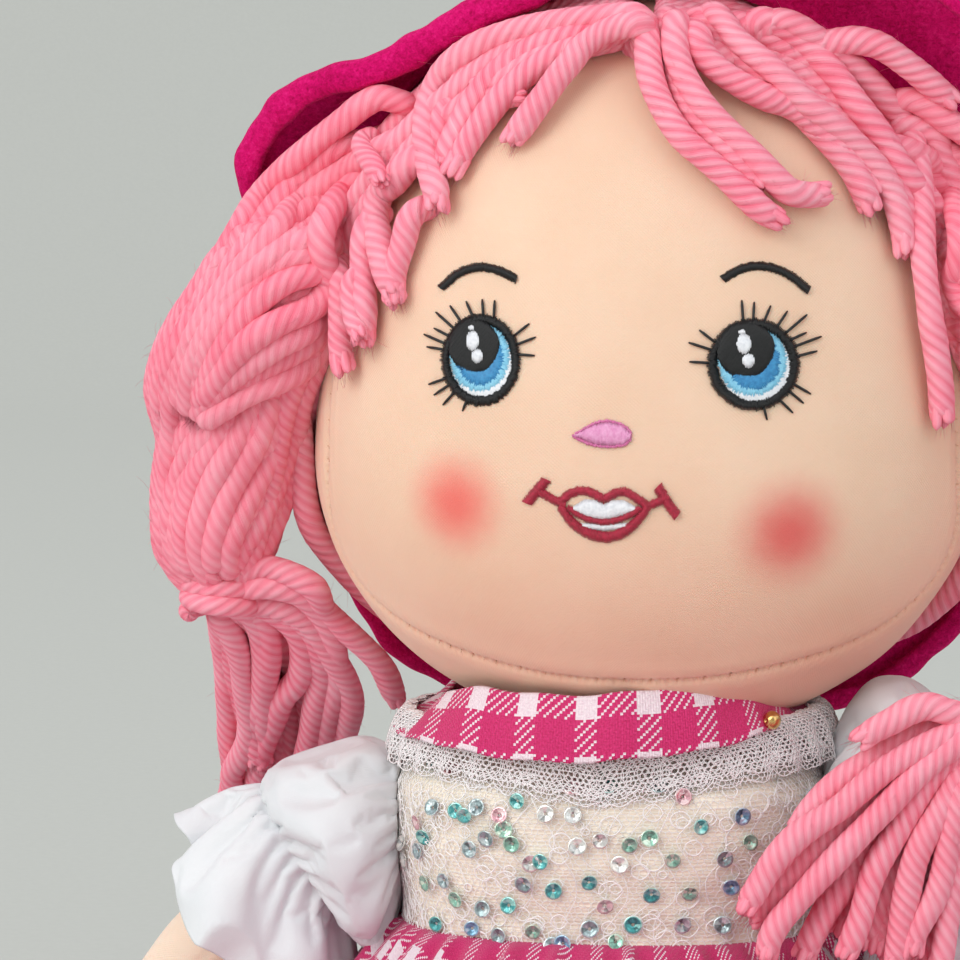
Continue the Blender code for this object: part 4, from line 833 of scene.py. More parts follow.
def make_eyes():
    for side, eye in EYES.items():
        ring, squeeze = eye["ring"], eye["squeeze"]
        seed = 11 if side == "left" else 23
        white = Mesh()
        fan(white, eye["white"], 14, 37, squeeze, seed, 210, (2, 1.2), lift=0.00010)
        for centre, radii in eye["lights"]:
            fill_disc(white, centre, radii, seed, math.pi / 2, 1.35, lift=0.00105, crown=0.0003)
        sky, blue, black = Mesh(), Mesh(), Mesh()
        fan(sky, eye["blue"], 20, 34.5, squeeze, seed + 1, 200, (1, 1.6), lift=0.00032)
        fan(blue, eye["blue"], 10, 28.5, squeeze, seed + 2, 180, (1, 2.2), lift=0.00052)
        fan(black, ring, 35.6, 46.2, squeeze, seed + 3, 190, (1.3, 1.1), lift=0.00026, crown=0.0005)
        fill_disc(black, eye["pupil"], (29 * squeeze, 29), seed + 4, 1.3, 1.3, lift=0.00068, crown=0.00035)
        for x0, y0, x1, y1 in LASHES[side]:
            a, b = sorted((crop_px(x0, y0), crop_px(x1, y1)), key=lambda p: math.dist(p, ring))
            root = tuple(c + (r - c) * 6.5 / math.dist(a, ring) for c, r in zip(a, ring))
            stitch(black, root, b, lift=0.00008, radius=0.00027, crown=0.0002)
        pieces = [
            put(mesh.build(f"eye_{side}_{name}", FINISH[name]), "head", ())
            for name, mesh in (("white", white), ("sky", sky), ("blue", blue))
        ]
        whole = put(black.build(f"eye_{side}_black", FINISH["black"]), "head", [f"eye_{side}"])
        pieces.append(whole)
        brow = Mesh()
        band(brow, BROWS[side], 8.6, seed + 5, 1.35, 0.25, lift=0.00010, crown=0.0004)
        put(brow.build(f"brow_{side}_stitches", FINISH["black"]), "head", [f"brow_{side}"])


def make_nose_and_mouth():
    nose, edge = Mesh(), Mesh()
    chance = random.Random(5)
    for x in np.arange(575, 631, 1.4):
        top = np.interp(x, (573, 590, 605, 620, 631), (435, 425, 421.5, 424, 433))
        low = np.interp(x, (573, 590, 610, 624, 631), (435, 443, 446, 445.5, 440))
        stitch(nose, (x + 1.2, top + chance.uniform(-.5, .5)), (x - 1.2, low + chance.uniform(-.5, .5)),
               lift=0.00012, crown=0.0005)
    outline = ((573, 436), (590, 425.5), (605, 421), (620, 424), (630.5, 433), (629, 441), (618, 446), (604, 446.5),
               (588, 443.5), (573, 436))
    band(edge, outline, 2.6, 8, 1.5, 0.5, lift=0.00008, crown=0.0003)
    put(edge.build("nose_outline", FINISH["rose"]), "head", ())
    put(nose.build("nose_stitches", FINISH["pink"]), "head", ["nose"])

    teeth, red = Mesh(), Mesh()
    for x in np.arange(574, 636, 1.4):
        top = np.interp(x, (572, 585, 596, 604, 612, 624, 638), (507, 499, 500, 504, 500, 500, 508))
        low = np.interp(x, (572, 585, 604, 622, 638), (511, 518, 521, 517, 511))
        stitch(teeth, (x, top), (x, low), lift=0.00010, crown=0.0004)
    for x in np.arange(580, 628, 1.4):
        stitch(teeth, (x, 523), (x, 531 - abs(x - 604) * 0.12), lift=0.00008, crown=0.0002)
    put(teeth.build("mouth_white", FINISH["white"]), "head", ())
    lines = (
        (((559, 503), (570, 494), (582, 490.5), (594, 493.5), (604, 499), (613, 494), (622, 491.5), (636, 498),
          (648, 507)), 8.6),
        (((560, 506), (570, 520), (582, 530), (595, 535.5), (606, 537), (620, 534), (632, 526), (641, 516), (648, 505)),
         ((0, 8), (0.3, 10.0), (0.5, 11.0), (0.7, 10.0), (1, 8))),
        (((568, 508), (580, 516), (592, 520.5), (605, 522), (618, 520), (630, 515), (640, 508)), 6.0),
        (((565, 505), (556, 501), (547, 496), (538, 491)), 8.2),
        (((546, 480), (540, 487), (534, 494), (527, 503)), 10.2),
        (((646, 507), (653, 504), (660, 501), (668, 497)), 8.2),
        (((658, 487), (663, 496), (669, 505), (677, 516)), 10.2),
    )
    for i, (line, width) in enumerate(lines):
        band(red, line, width, 40 + i, 1.35, 0.3, lift=0.00018 + 0.00006 * (i % 3), crown=0.00045)
    put(red.build("mouth_red", FINISH["red"]), "head", ["mouth"])


# Hair. Strands are lines of pixels for the side that the camera sees, and are turned over for the other

BRIM_CENTRE = np.array([NECK_X, 0.010, 0.153])
BRIM_RADIUS = 0.081
TIE_Z = 0.105
BUNCH_YARN = 0.0024


def brim_front_y(z):
    return BRIM_CENTRE[1] - (z - BRIM_CENTRE[2]) * math.tan(HAT_TILT)


def misses_head(px, py, lift):
    ray = pixel_ray(px, py)
    start = camera_place - HEAD
    height = HEAD_ABOVE if py < HEAD_PX[1] else HEAD_BELOW
    size = np.array([HEAD_HALF_WIDTH + lift, HEAD_FRONT + lift, height + lift])
    a, o = ray / size, start / size
    return (a @ o) ** 2 - (a @ a) * (o @ o - 1) < 0


def over_head(points, lift, beside=-0.006):
    """Places for pixels on the head, or level with its side where they miss it."""
    lifts = np.interp(np.linspace(0, 1, len(points)), (0, 1), lift if isinstance(lift, tuple) else (lift, lift))
    places = []
    for (px, py), up in zip(points, lifts):
        if misses_head(px, py, up):
            places.append(at_depth(px, py, beside - up))
        else:
            places.append(on_face(px, py, up))
    return places


def before_brim(places, clear):
    """The same places, brought forward where they would run into the brim."""
    moved = []
    for place in places:
        ahead = (BRIM_CENTRE - place) @ HAT_AXIS
        moved.append(place - HAT_AXIS * max(0.0, clear - ahead))
    return moved


FRINGE_PX = {
    "right": (
        (((643, 19), (599, 17), (551, 22), (503, 30), (471, 41), (449, 61), (436, 83), (428, 105), (426, 134),
          (431, 166), (438, 198), (439, 223)), (0.0075, 0.0035)),
        (((640, 25), (614, 29), (592, 41), (567, 70), (538, 105), (519, 128), (508, 143)), (0.0085, 0.0026)),
        (((638, 28), (590, 42), (545, 62), (510, 90), (482, 125), (460, 160), (447, 190)), (0.0045, 0.0026)),
        (((636, 24), (580, 33), (530, 50), (495, 75), (470, 105), (452, 140), (440, 175)), (0.0050, 0.0030)),
        (((630, 22), (570, 26), (515, 40), (478, 60), (455, 90), (440, 125), (432, 160)), (0.0055, 0.0030)),
        (((471, 57), (477, 83), (503, 96), (525, 96)), (0.0040, 0.0028)),
        (((359, 108), (366, 137), (374, 166), (383, 188)), (0.0085, 0.0075)),
        (((433, 140), (417, 156), (398, 179), (383, 191), (376, 214), (380, 245), (386, 275), (398, 303)),
         (0.0050, 0.0030)),
        (((422, 184), (413, 214), (404, 245), (395, 275), (395, 301)), (0.0040, 0.0026)),
        (((367, 190), (364, 230), (361, 260), (364, 306), (364, 340)), (0.0060, 0.0028)),
        (((347, 189), (330, 212), (324, 235), (328, 258), (340, 276), (342, 310), (341, 350), (347, 391)),
         (0.0070, 0.0028)),
        (((360, 248), (351, 281), (351, 315), (360, 340)), (0.0060, 0.0050)),
    ),
    "left": (
        (((647, 31), (648, 70), (661, 107), (679, 135), (706, 159), (734, 184), (762, 211), (786, 226)),
         (0.0060, 0.0026)),
        (((676, 18), (676, 52), (691, 86), (713, 116), (740, 144), (765, 171), (792, 193), (826, 193)),
         (0.0070, 0.0035)),
        (((694, 28), (706, 55), (731, 76), (765, 95), (795, 107), (826, 135), (856, 165), (875, 196)),
         (0.0065, 0.0026)),
        (((716, 12), (740, 40), (774, 70), (804, 101), (841, 132), (869, 159), (890, 190), (902, 230), (908, 269)),
         (0.0080, 0.0032)),
        (((765, 9), (801, 40), (832, 73), (856, 107), (881, 138), (902, 171), (927, 199), (942, 223)),
         (0.0085, 0.0048)),
        (((786, 6), (817, 24), (856, 55), (887, 86), (908, 122), (918, 168), (924, 214), (924, 260), (927, 306),
          (936, 352), (942, 398), (942, 438)), (0.0090, 0.0028)),
        (((832, 15), (872, 28), (902, 49), (933, 80), (960, 107)), (0.0095, 0.0090)),
        (((908, 92), (930, 129), (945, 165), (960, 196), (968, 230), (962, 280)), (0.0060, 0.0040)),
        (((951, 180), (962, 214), (966, 260), (968, 306), (962, 350)), (0.0070, 0.0035)),
        (((670, 10), (668, 46), (680, 84), (700, 120), (728, 150), (760, 186)), (0.0045, 0.0028)),
        (((700, 6), (722, 40), (756, 74), (790, 100), (830, 140), (858, 178), (872, 214)), (0.0045, 0.0030)),
        (((740, 4), (780, 36), (818, 74), (850, 112), (876, 152), (898, 196), (914, 240)), (0.0055, 0.0035)),
    ),
}
# The swelling bunch: two lobes of looped strands in front, from where they leave the brim to the tie
BUNCH_PX = (
    ((424, 84), (380, 97), (343, 120), (303, 152), (264, 192), (235, 228), (205, 270), (174, 315), (154, 355), (150, 384), (160, 412)),
    ((428, 128), (386, 146), (344, 170), (304, 200), (266, 240), (230, 280), (198, 322), (178, 364), (172, 411)),
    ((352, 194), (319, 222), (273, 255), (230, 294), (200, 338), (184, 379), (184, 416)),
    ((346, 244), (317, 253), (282, 262), (246, 287), (215, 327), (196, 368), (193, 416)),
    ((342, 268), (319, 274), (284, 282), (252, 303), (222, 342), (202, 384), (193, 414)),
    ((350, 186), (332, 210), (324, 235), (328, 258), (336, 276), (331, 294), (312, 310), (278, 324), (241, 347), (216, 376), (197, 404)),
    ((336, 312), (317, 330), (282, 344), (246, 366), (218, 388), (190, 418)),
    ((338, 326), (330, 344), (312, 366), (286, 380), (250, 394), (214, 414), (196, 426)),
    ((190, 412), (165, 440), (156, 480), (158, 530), (168, 570), (190, 592)),
    ((215, 410), (190, 440), (170, 480), (163, 530), (172, 568), (200, 592)),
    ((240, 402), (215, 440), (190, 480), (178, 530), (184, 568), (208, 590)),
    ((262, 392), (240, 435), (212, 480), (195, 530), (197, 565), (216, 588)),
    ((278, 389), (266, 430), (240, 475), (217, 525), (211, 560), (222, 584)),
    ((290, 400), (283, 440), (262, 480), (240, 520), (228, 550), (232, 580)),
    ((300, 392), (296, 440), (282, 485), (262, 525), (244, 556), (238, 582)),
)
BUNCH_LIFTS = (0.6, 1.0, 2.0, 1.6, 2.6, 3.2, 2.6, 2.0, 0.0, 0.8, 1.4, 1.8, 1.6, 1.0, 0.0)
# Pairs of those lines with another strand between them, and its lift
BUNCH_BETWEEN = (
    (0, 1, 0.0), (1, 2, -0.4), (2, 3, 0.4), (0, 2, -2.0), (1, 3, -1.8), (3, 6, -1.2), (6, 7, 0.6), (4, 6, -0.4),
    (8, 9, -1.4), (9, 10, -0.6), (10, 11, 0.0), (11, 12, 0.2), (12, 13, -0.4), (13, 14, -1.0)
)
# Outer and inner edge of the bunch, as pixels for rows of pixels
BUNCH_OUTER_PX = ((200, 245), (258, 209), (331, 163), (372, 147), (407, 146), (441, 154), (520, 150), (560, 158), (596, 200))
BUNCH_INNER_PX = ((200, 365), (331, 345), (400, 320), (480, 300), (540, 280), (596, 246))


def bunch_section(py):
    """Middle and half-width in pixels, and middle and half-depth in metres, of the bunch at a row of pixels."""
    outer = np.interp(py, *zip(*BUNCH_OUTER_PX))
    inner = np.interp(py, *zip(*BUNCH_INNER_PX))
    middle, half = (outer + inner) / 2, (inner - outer) / 2
    depth = np.interp(py, (170, 330, 430, 540, 600), (0.007, 0.0155, 0.0150, 0.0125, 0.0058))
    z = at_depth(middle, py, 0.0)[2]
    return middle, half, min(0.0, brim_front_y(z) - 0.0068 - depth), depth


def bunch_place(px, py, lift=0.0, behind=False, drawn_in=1.0):
    middle, half, centre_y, depth = bunch_section(py)
    share = np.clip((px - middle) / half, -0.98, 0.98) * drawn_in
    reach = (depth + lift - YARN_RADIUS) * math.sqrt(1 - share * share)
    return at_depth(middle + share * (half - 9), py, centre_y + (reach if behind else -reach))


def in_hair(px, py, lift=0.0):
    """A place in the front of the hair: close under the brim, and in the bunch further down."""
    if py > 240:
        return bunch_place(px, py, lift)
    edge = brim_front_y(at_depth(px, py, -0.010)[2]) - 0.0062
    if misses_head(px, py, 0.006):
        upper = at_depth(px, py, min(-0.006, edge) - lift)
    else:
        upper = on_face(px, py, 0.0060 + lift)
    share = min(1.0, max(0.0, (py - 195) / 45))
    return upper * (1 - share) + bunch_place(px, py, lift) * share


def turned_over(points):
    """The same places on the doll's other side."""
    return [np.array([2 * NECK_X - p[0], p[1], p[2]]) for p in points]


TAIL_PX = (
    ((212, 610), (236, 645), (244, 690), (248, 740), (232, 785)),
    ((225, 590), (250, 612), (262, 650), (262, 700), (262, 745), (255, 790)),
    ((246, 600), (273, 611), (297, 631), (303, 655), (297, 678), (279, 698), (271, 721), (262, 741)),
    ((222, 600), (262, 619), (269, 643), (267, 674), (262, 700), (254, 735)),
    ((228, 580), (254, 566), (283, 570), (313, 586), (324, 611), (344, 631), (364, 649), (375, 660), (397, 704)),
    ((226, 590), (262, 586), (299, 594), (318, 613), (330, 640), (335, 680), (325, 720), (320, 760)),
    ((230, 596), (290, 610), (330, 650), (350, 690), (345, 730), (330, 765)),
    ((232, 600), (268, 606), (300, 620), (320, 660), (315, 710), (305, 760), (298, 790)),
    ((220, 600), (228, 640), (240, 690), (252, 740), (262, 800)),
    ((224, 600), (246, 640), (276, 680), (290, 730), (284, 780)),
    ((222, 600), (240, 650), (262, 690), (280, 740), (272, 800)),
    ((214, 600), (222, 640), (226, 690), (232, 740), (228, 800)),
    ((230, 600), (270, 640), (306, 690), (312, 740), (300, 800)),
)
# The other tail falls forward over its sleeve
FORWARD_TAIL_PX = (
    ((960, 707), (924, 699), (893, 713), (853, 738), (847, 746)),
    ((960, 722), (924, 738), (883, 762), (834, 801), (802, 824), (761, 875), (738, 911)),
    ((960, 732), (924, 762), (883, 803), (842, 844), (802, 885), (771, 926), (765, 952)),
    ((960, 746), (934, 766), (904, 813), (875, 864), (863, 905), (842, 954)),
    ((960, 762), (940, 803), (918, 844), (904, 895), (895, 946), (888, 975)),
    ((960, 783), (951, 824), (936, 885), (914, 926), (905, 960)),
    ((962, 830), (948, 895), (940, 946), (930, 985)),
    ((960, 715), (930, 720), (895, 740), (850, 775), (815, 812), (780, 850), (750, 890)),
    ((960, 728), (915, 752), (870, 785), (825, 830), (788, 872), (758, 905), (745, 922)),
    ((960, 740), (930, 775), (890, 825), (850, 870), (818, 915), (800, 955)),
    ((960, 755), (938, 790), (905, 845), (880, 895), (866, 945)),
    ((975, 770), (965, 830), (950, 890), (930, 950), (922, 985)),
)


def halfway(one, other):
    """A line of pixels between two others."""
    shares = np.linspace(0, 1, 10)
    both = [[np.interp(shares * (len(line) - 1), range(len(line)), [p[k] for p in line]) for k in (0, 1)]
            for line in (one, other)]
    return tuple(zip(*((np.array(both[0]) + np.array(both[1])) / 2)))


def make_bunch(side):
    """Looped strands round a core coloured with painted shade, thickest beside the cheek and drawn in at the tie."""
    seeing = side == "right"
    turn = (lambda p: p) if seeing else turned_over
    start = 100 if seeing else 400
    mesh, paths = Mesh(), []
    chance = random.Random(start)
    lines = list(zip(BUNCH_PX, BUNCH_LIFTS))
    for one, other, lift in BUNCH_BETWEEN:
        lines.append((halfway(BUNCH_PX[one], BUNCH_PX[other]), lift))
    for i, (line, lift) in enumerate(lines):
        shift = (0, 0) if seeing else (chance.uniform(-5, 5), chance.uniform(-8, 8))
        tucked = [4.5, 1.2] + [0.0] * (len(line) - 3) + [1.5]
        places = [in_hair(px + shift[0], py + shift[1] * (0.3 < k / len(line) < 0.8), (lift - tucked[k]) * MM)
                  for k, (px, py) in enumerate(line)]
        places = before_brim(places, 0.0042)
        paths.append(yarn(mesh, turn(places), start + 200 + i, BUNCH_YARN, frayed=False))
    for i, degrees in enumerate((140, 158, 176, 194, 212, -40, -20, 0, 20, 40)):
        knots = []
        for k, py in enumerate((250, 290, 340, 392, 440, 500, 550, 590)):
            middle, half, centre_y, depth = bunch_section(py)
            angle = math.radians(degrees) + 0.12 * math.sin(k * 1.6 + i)
            inset = 12 + chance.uniform(-2, 2)
            knots.append(at_depth(middle + math.cos(angle) * (half - inset), py,
                                  centre_y + math.sin(angle) * (depth - 0.0020)))
        paths.append(yarn(mesh, turn(knots), start + 70 + i, BUNCH_YARN, frayed=False))
    for i in range(15):
        share = (i + 0.5) / 15
        knots = []
        for k, py in enumerate((212, 270, 330, 390, 440, 500, 550, 590)):
            outer = np.interp(py, *zip(*BUNCH_OUTER_PX))
            inner = np.interp(py, *zip(*BUNCH_INNER_PX))
            px = outer + (inner - outer) * (share + 0.10 * math.sin(k * 1.7 + i)) + chance.uniform(-5, 5)
            knots.append(bunch_place(px, py, chance.uniform(0, 0.0022), behind=True))
        paths.append(yarn(mesh, turn(knots), start + 30 + i, BUNCH_YARN, frayed=False))
    for i in range(13):
        share = (i + 0.5) / 13
        knots = []
        for k, py in enumerate((225, 280, 340, 400, 450, 505, 552, 590)):
            outer = np.interp(py, *zip(*BUNCH_OUTER_PX))
            inner = np.interp(py, *zip(*BUNCH_INNER_PX))
            px = outer + (inner - outer) * (share + 0.08 * math.sin(k * 1.5 + 2 * i)) + chance.uniform(-4, 4)
            knots.append(bunch_place(px, py, -0.0040 + chance.uniform(-0.001, 0.001), drawn_in=0.92))
        paths.append(yarn(mesh, turn(knots), start + 50 + i, BUNCH_YARN, frayed=False))
    fuzz(mesh, paths, start + 90, 0.0028)
    put(mesh.build(f"hair_bunch_{side}_yarn", FINISH["soft_yarn"]), "head", [f"hair_bunch_{side}"])
    # The core is coloured darker than the strands, as painted shade seen through the gaps between them.
    core = Mesh()
    rings = []
    for py in np.linspace(236, 592, 40):
        middle, half, centre_y, depth = bunch_section(py)
        rounding = math.sqrt(1 - (1 - min(1, (py - 234) / 60)) ** 2)
        ring = []
        for angle in np.arange(28) * 2 * np.pi / 28:
            flute = 1 + 0.06 * math.cos(7 * angle + py * 0.02)
            px = middle + math.cos(angle) * max(4, half - 24) * flute * rounding
            ring.append(at_depth(px, py, centre_y + math.sin(angle) * max(0.001, depth - 0.0050) * flute * rounding))
        rings.append(turn(ring))
    core.grid(rings, closed=True, caps=(True, True))
    put(core.build(f"hair_core_{side}", FINISH["painted_shade_yarn"]), "head", ())

    tie = Mesh()
    middle = at_depth(222, 594, 0.0) if seeing else turned_over([at_depth(222, 594, 0.0)])[0]
    turns = np.linspace(0, 2.6 * 2 * np.pi, 60)
    wound = [middle + np.array([
        math.cos(a) * 0.0060, math.sin(a) * 0.0064, 0.0042 - 0.0030 * a / (2 * np.pi)
    ]) for a in turns]
    yarn(tie, wound, start + 95, radius=0.0019, frayed=False)
    put(tie.build(f"hair_tie_{side}_yarn", FINISH["yarn"]), "head", [f"hair_tie_{side}"])


def put_tail(tail, node):
    """The tail is left where it lies, attached to no body, and its part is hidden."""
    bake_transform(tail)
    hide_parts(node)


def make_tails():
    mesh, paths = Mesh(), []
    chance = random.Random(77)
    for i, line in enumerate(TAIL_PX):
        places = []
        for px, py in line:
            fall = np.clip((py - 585) / 215, 0, 1)
            y = 0.0425 * fall ** 0.8 - 0.0045 * (1 - fall) + (-0.0045 if i < 8 else 0.0030) * min(1, fall * 4)
            places.append(at_depth(px, py, y))
        end = places[-1]
        if i != 4:
            places.append(end + np.array([chance.uniform(-0.003, 0.004), 0.003, -chance.uniform(0.003, 0.009)]))
        paths.append(yarn(mesh, places, 200 + i))
    fuzz(mesh, paths, 210, 0.0024)
    put_tail(mesh.build("hair_tail_right_yarn", FINISH["yarn"]), "hair_tail_right")

    mesh, paths = Mesh(), []
    tie = turned_over([at_depth(222, 594, 0.0)])[0]
    for i, line in enumerate(FORWARD_TAIL_PX):
        spread = (i % 4 - 1.5) * 0.0022
        places = [
            tie + np.array([spread, -0.003 - 0.001 * (i % 3), -0.001]),
            tie + np.array([-0.004 + spread, -0.014 - 0.0012 * (i % 3), -0.006 - 0.0008 * i])
        ]
        for px, py in line:
            share = np.clip((960 - px) / 220, 0, 1)
            lift = 0.0 if i < 7 else 0.0042
            places.append(at_depth(px, py + 9, -0.0305 - 0.0085 * share + lift - 0.0006 * (i % 3)))
        paths.append(yarn(mesh, places, 230 + i, BUNCH_YARN))
    for i, (one, other) in enumerate(zip(FORWARD_TAIL_PX[:6], FORWARD_TAIL_PX[1:7])):
        for level in (0, 1):
            spread = (i % 3 - 1) * 0.0020
            places = [tie + np.array([spread, 0.001 + 0.002 * level, -0.001]),
                      tie + np.array([spread - 0.003, -0.010 + 0.003 * level, -0.009 - 0.0008 * i])]
            for share in np.linspace(0, 0.94 - 0.05 * level, 7):
                spots = [np.array([np.interp(share * (len(line) - 1), range(len(line)), [p[k] for p in line])
                                   for k in (0, 1)]) for line in (one, other)]
                px, py = spots[0] * (0.5 - 0.3 * level) + spots[1] * (0.5 + 0.3 * level)
                across = np.clip((960 - px) / 220, 0, 1)
                places.append(at_depth(px, py + 9, -0.0265 - 0.0085 * across + 0.0035 * level))
            paths.append(yarn(mesh, places, 260 + 2 * i + level, BUNCH_YARN))
    fuzz(mesh, paths, 250, 0.0026)
    put_tail(mesh.build("hair_tail_left_yarn", FINISH["yarn"]), "hair_tail_left")


def cap_edge(around):
    return math.radians(83) + math.radians(12) * math.sin(around) ** 2


def make_hair_cap():
    mesh, paths = Mesh(), []
    chance = random.Random(9)
    for sign in (-1, 1):
        for i in range(13):
            share = (i + 0.5) / 13
            knots = []
            for k, around in enumerate(np.radians((1.5, 12, 26, 42, 60, 80, 100, 122, 137))):
                edge = cap_edge(around) + math.radians(1.0)
                away = math.radians(58) + (edge - math.radians(58)) * share
                away += math.radians(1.2) * math.sin(k * 1.3 + i)
                lift = 0.0030 + 0.0012 * (i % 2) + chance.uniform(-0.0003, 0.0003)
                lift -= 0.0022 * min(1, max(0, (math.radians(80) - away) / math.radians(4)))
                knots.append(on_head(hat_direction(sign * around, away), lift))
            paths.append(yarn(mesh, knots, 300 + i + 20 * (sign > 0), frayed=False))
    fuzz(mesh, paths, 340, 0.006)
    put(mesh.build("hair_cap_yarn", FINISH["yarn"]), "head", ["hair_cap"])
    for side, lines in FRINGE_PX.items():
        mesh, paths = Mesh(), []
        start = 350 if side == "right" else 380
        for i, (line, lift) in enumerate(lines):
            first = line[0]
            thin = len(line) < 5
            places = before_brim(over_head(line, lift), 0.0062)
            if first[1] < 34:
                root = before_brim(over_head([(first[0] + (650 - first[0]) * 0.3, first[1] - 6)], 0.0), 0.0062)[0]
                places = [root + (HEAD - root) * 0.05] + places
            else:
                places[0] = places[0] + (HEAD - places[0]) * 0.07
            paths.append(yarn(mesh, places, start + i, 0.0019 if thin else YARN_RADIUS))
        fuzz(mesh, paths, start + 20, 0.0022)
        put(mesh.build(f"fringe_{side}_yarn", FINISH["yarn"]), "head", [f"fringe_{side}"])


# The hat

BRIM_EDGE_PX = (
    (480, -4), (450, 9), (425, 24), (400, 39), (372, 54), (340, 61), (312, 69), (288, 81), (268, 101), (250, 126),
    (236, 150), (229, 184), (248, 214), (276, 252), (335, 560), (370, 633), (397, 663), (433, 681), (448, 686)
)
BRIM_ROLL = 0.0033
BRIM_CLOTH = 0.0024


def brim_reach_table():
    """Radius of the brim round its axis, where the camera sees its edge."""
    pairs = []
    for px, py in BRIM_EDGE_PX:
        ray = pixel_ray(px, py)
        place = camera_place + ray * (((BRIM_CENTRE - camera_place) @ HAT_AXIS) / (ray @ HAT_AXIS))
        out = place - BRIM_CENTRE
        pairs.append((math.atan2(out @ HAT_SIDE, out @ HAT_UP), min(0.0925, np.linalg.norm(out))))
    pairs.sort()
    return pairs


def make_hat():
    table = brim_reach_table()
    table = [(-math.pi, 0.087)] + table + [
        (-0.25, 0.0735), (0.0, 0.0775), (0.3, 0.0835), (0.55, 0.0895), (0.75, 0.0912), (1.0, 0.0895), (1.4, 0.0860),
        (2.2, 0.0830), (2.45, 0.0890), (2.65, 0.0915),
        (math.pi, 0.087)
    ]
    columns = 420
    arounds = np.arange(columns) * 2 * np.pi / columns - np.pi
    reach = np.interp(arounds, *zip(*table))
    kernel = np.hanning(17) / np.hanning(17).sum()
    reach = np.convolve(np.concatenate([reach[-8:], reach, reach[:8]]), kernel, "valid")
    rows = []
    for around, edge_reach in zip(arounds, reach):
        rim = HAT_SIDE * math.sin(around) + HAT_UP * math.cos(around)
        start = on_head(hat_direction(around, math.radians(72)), 0.0058) - HAT_AXIS * 0.0016
        ripple = 0.0016 * math.cos(5 * around) + 0.0006 * math.sin(11 * around + 1)
        edge = BRIM_CENTRE + rim * (edge_reach - BRIM_ROLL) + HAT_AXIS * ripple
        half = HAT_AXIS * BRIM_CLOTH / 2
        section = []
        for share in np.linspace(0, 1, 14):
            belly = HAT_AXIS * 0.0022 * math.sin(math.pi * share)
            groove = 0.0007 * math.exp(-((share - 0.93) / 0.03) ** 2)
            section.append(start + (edge - start) * share + half - HAT_AXIS * groove + belly)
        roll = BRIM_ROLL * (1 + 0.07 * math.sin(37 * around) + 0.04 * math.sin(71 * around + 2))
        for bend in np.linspace(math.radians(125), -math.radians(125), 15):
            section.append(edge + roll * (rim * math.cos(bend) + HAT_AXIS * math.sin(bend)))
        for share in np.linspace(1, 0, 14):
            belly = HAT_AXIS * 0.0022 * math.sin(math.pi * share)
            groove = 0.0009 * math.exp(-((share - 0.93) / 0.03) ** 2)
            section.append(start + (edge - start) * share - half + HAT_AXIS * groove + belly)
        rows.append(section)
    mesh = Mesh()
    grid = np.array(rows).transpose(1, 0, 2)
    mesh.grid(grid, u=np.linspace(0, 2 * np.pi * 0.07, columns + 1), v=np.linspace(0, 0.06, len(grid) + 1), closed=True,
              ring=True)
    brim = put(mesh.build("hat_brim_fleece", FINISH["fleece"]), "head", ["hat_brim"])

    rows = []
    columns = 300
    arounds = np.arange(columns) * 2 * np.pi / columns
    for side in (0, 1):
        shares = np.linspace(0.004, 1, 70)
        for share in (shares if side == 0 else shares[::-1]):
            ring = []
            for around in arounds:
                gore = abs(math.sin(3 * around))
                puff = 0.0048 + 0.006 * (1 - share ** 2) + (0.002 if side == 0 else 0)
                dent = 0.0009 * math.exp(-(gore * 3 * share / 0.28) ** 2) * (side == 0)
                soft = 0.0005 * math.sin(9 * around + 6 * share) * share * (side == 0)
                ring.append(on_head(hat_direction(around, math.radians(73.8) * share), puff - dent + soft))
            rows.append(ring)
    mesh = Mesh()
    mesh.grid(rows, u=np.linspace(0, 2 * np.pi * 0.05, columns + 1), v=np.linspace(0, 0.12, len(rows)), closed=True,
              caps=(True, True))
    put(mesh.build("hat_crown_fleece", FINISH["fleece"]), "head", ["hat_crown"])


# The body

TORSO = (0.081, 0.040, 0.0275, 2.4)
TORSO_WIDTHS = ((0.0, 0.72), (0.06, 0.88), (0.22, 1.0), (0.40, 0.985), (0.56, 0.925), (0.75, 0.955), (0.90, 0.90), (1.0, 0.64))
TORSO_DEPTHS = ((0.0, 0.70), (0.06, 0.87), (0.22, 1.0), (0.40, 0.97), (0.56, 0.92), (0.75, 1.0), (0.90, 0.93), (1.0, 0.66))


@lru_cache(None)
def curve_stations(stations):
    shares, values = zip(*stations)
    return shares, values, np.gradient(values, shares).tolist()


def curve_value(stations, share):
    """The value at a share along (share, value) stations, on a smooth curve through them."""
    shares, values, slopes = curve_stations(stations)
    first = min(max(bisect_right(shares, share) - 1, 0), len(shares) - 2)
    span = shares[first + 1] - shares[first]
    u = (share - shares[first]) / span
    return (
        values[first] * (1 + 2 * u) * (1 - u) ** 2 + values[first + 1] * u * u * (3 - 2 * u)
        + span * (slopes[first] * u * (1 - u) ** 2 - slopes[first + 1] * u * u * (1 - u))
    )


def torso_point(turn, height, grow=0.0):
    """A place on the torso: a turn of 0 is the front, and it grows towards +X."""
    tall, wide, deep, square = TORSO
    share = min(1, max(0, height / tall))
    width = wide * curve_value(TORSO_WIDTHS, share) + grow
    depth = deep * curve_value(TORSO_DEPTHS, share) + grow
    s, c = math.sin(turn), math.cos(turn)
    size = (abs(s) ** square + abs(c) ** square) ** (-1 / square)
    return np.array([width * s * size, -depth * c * size, height])


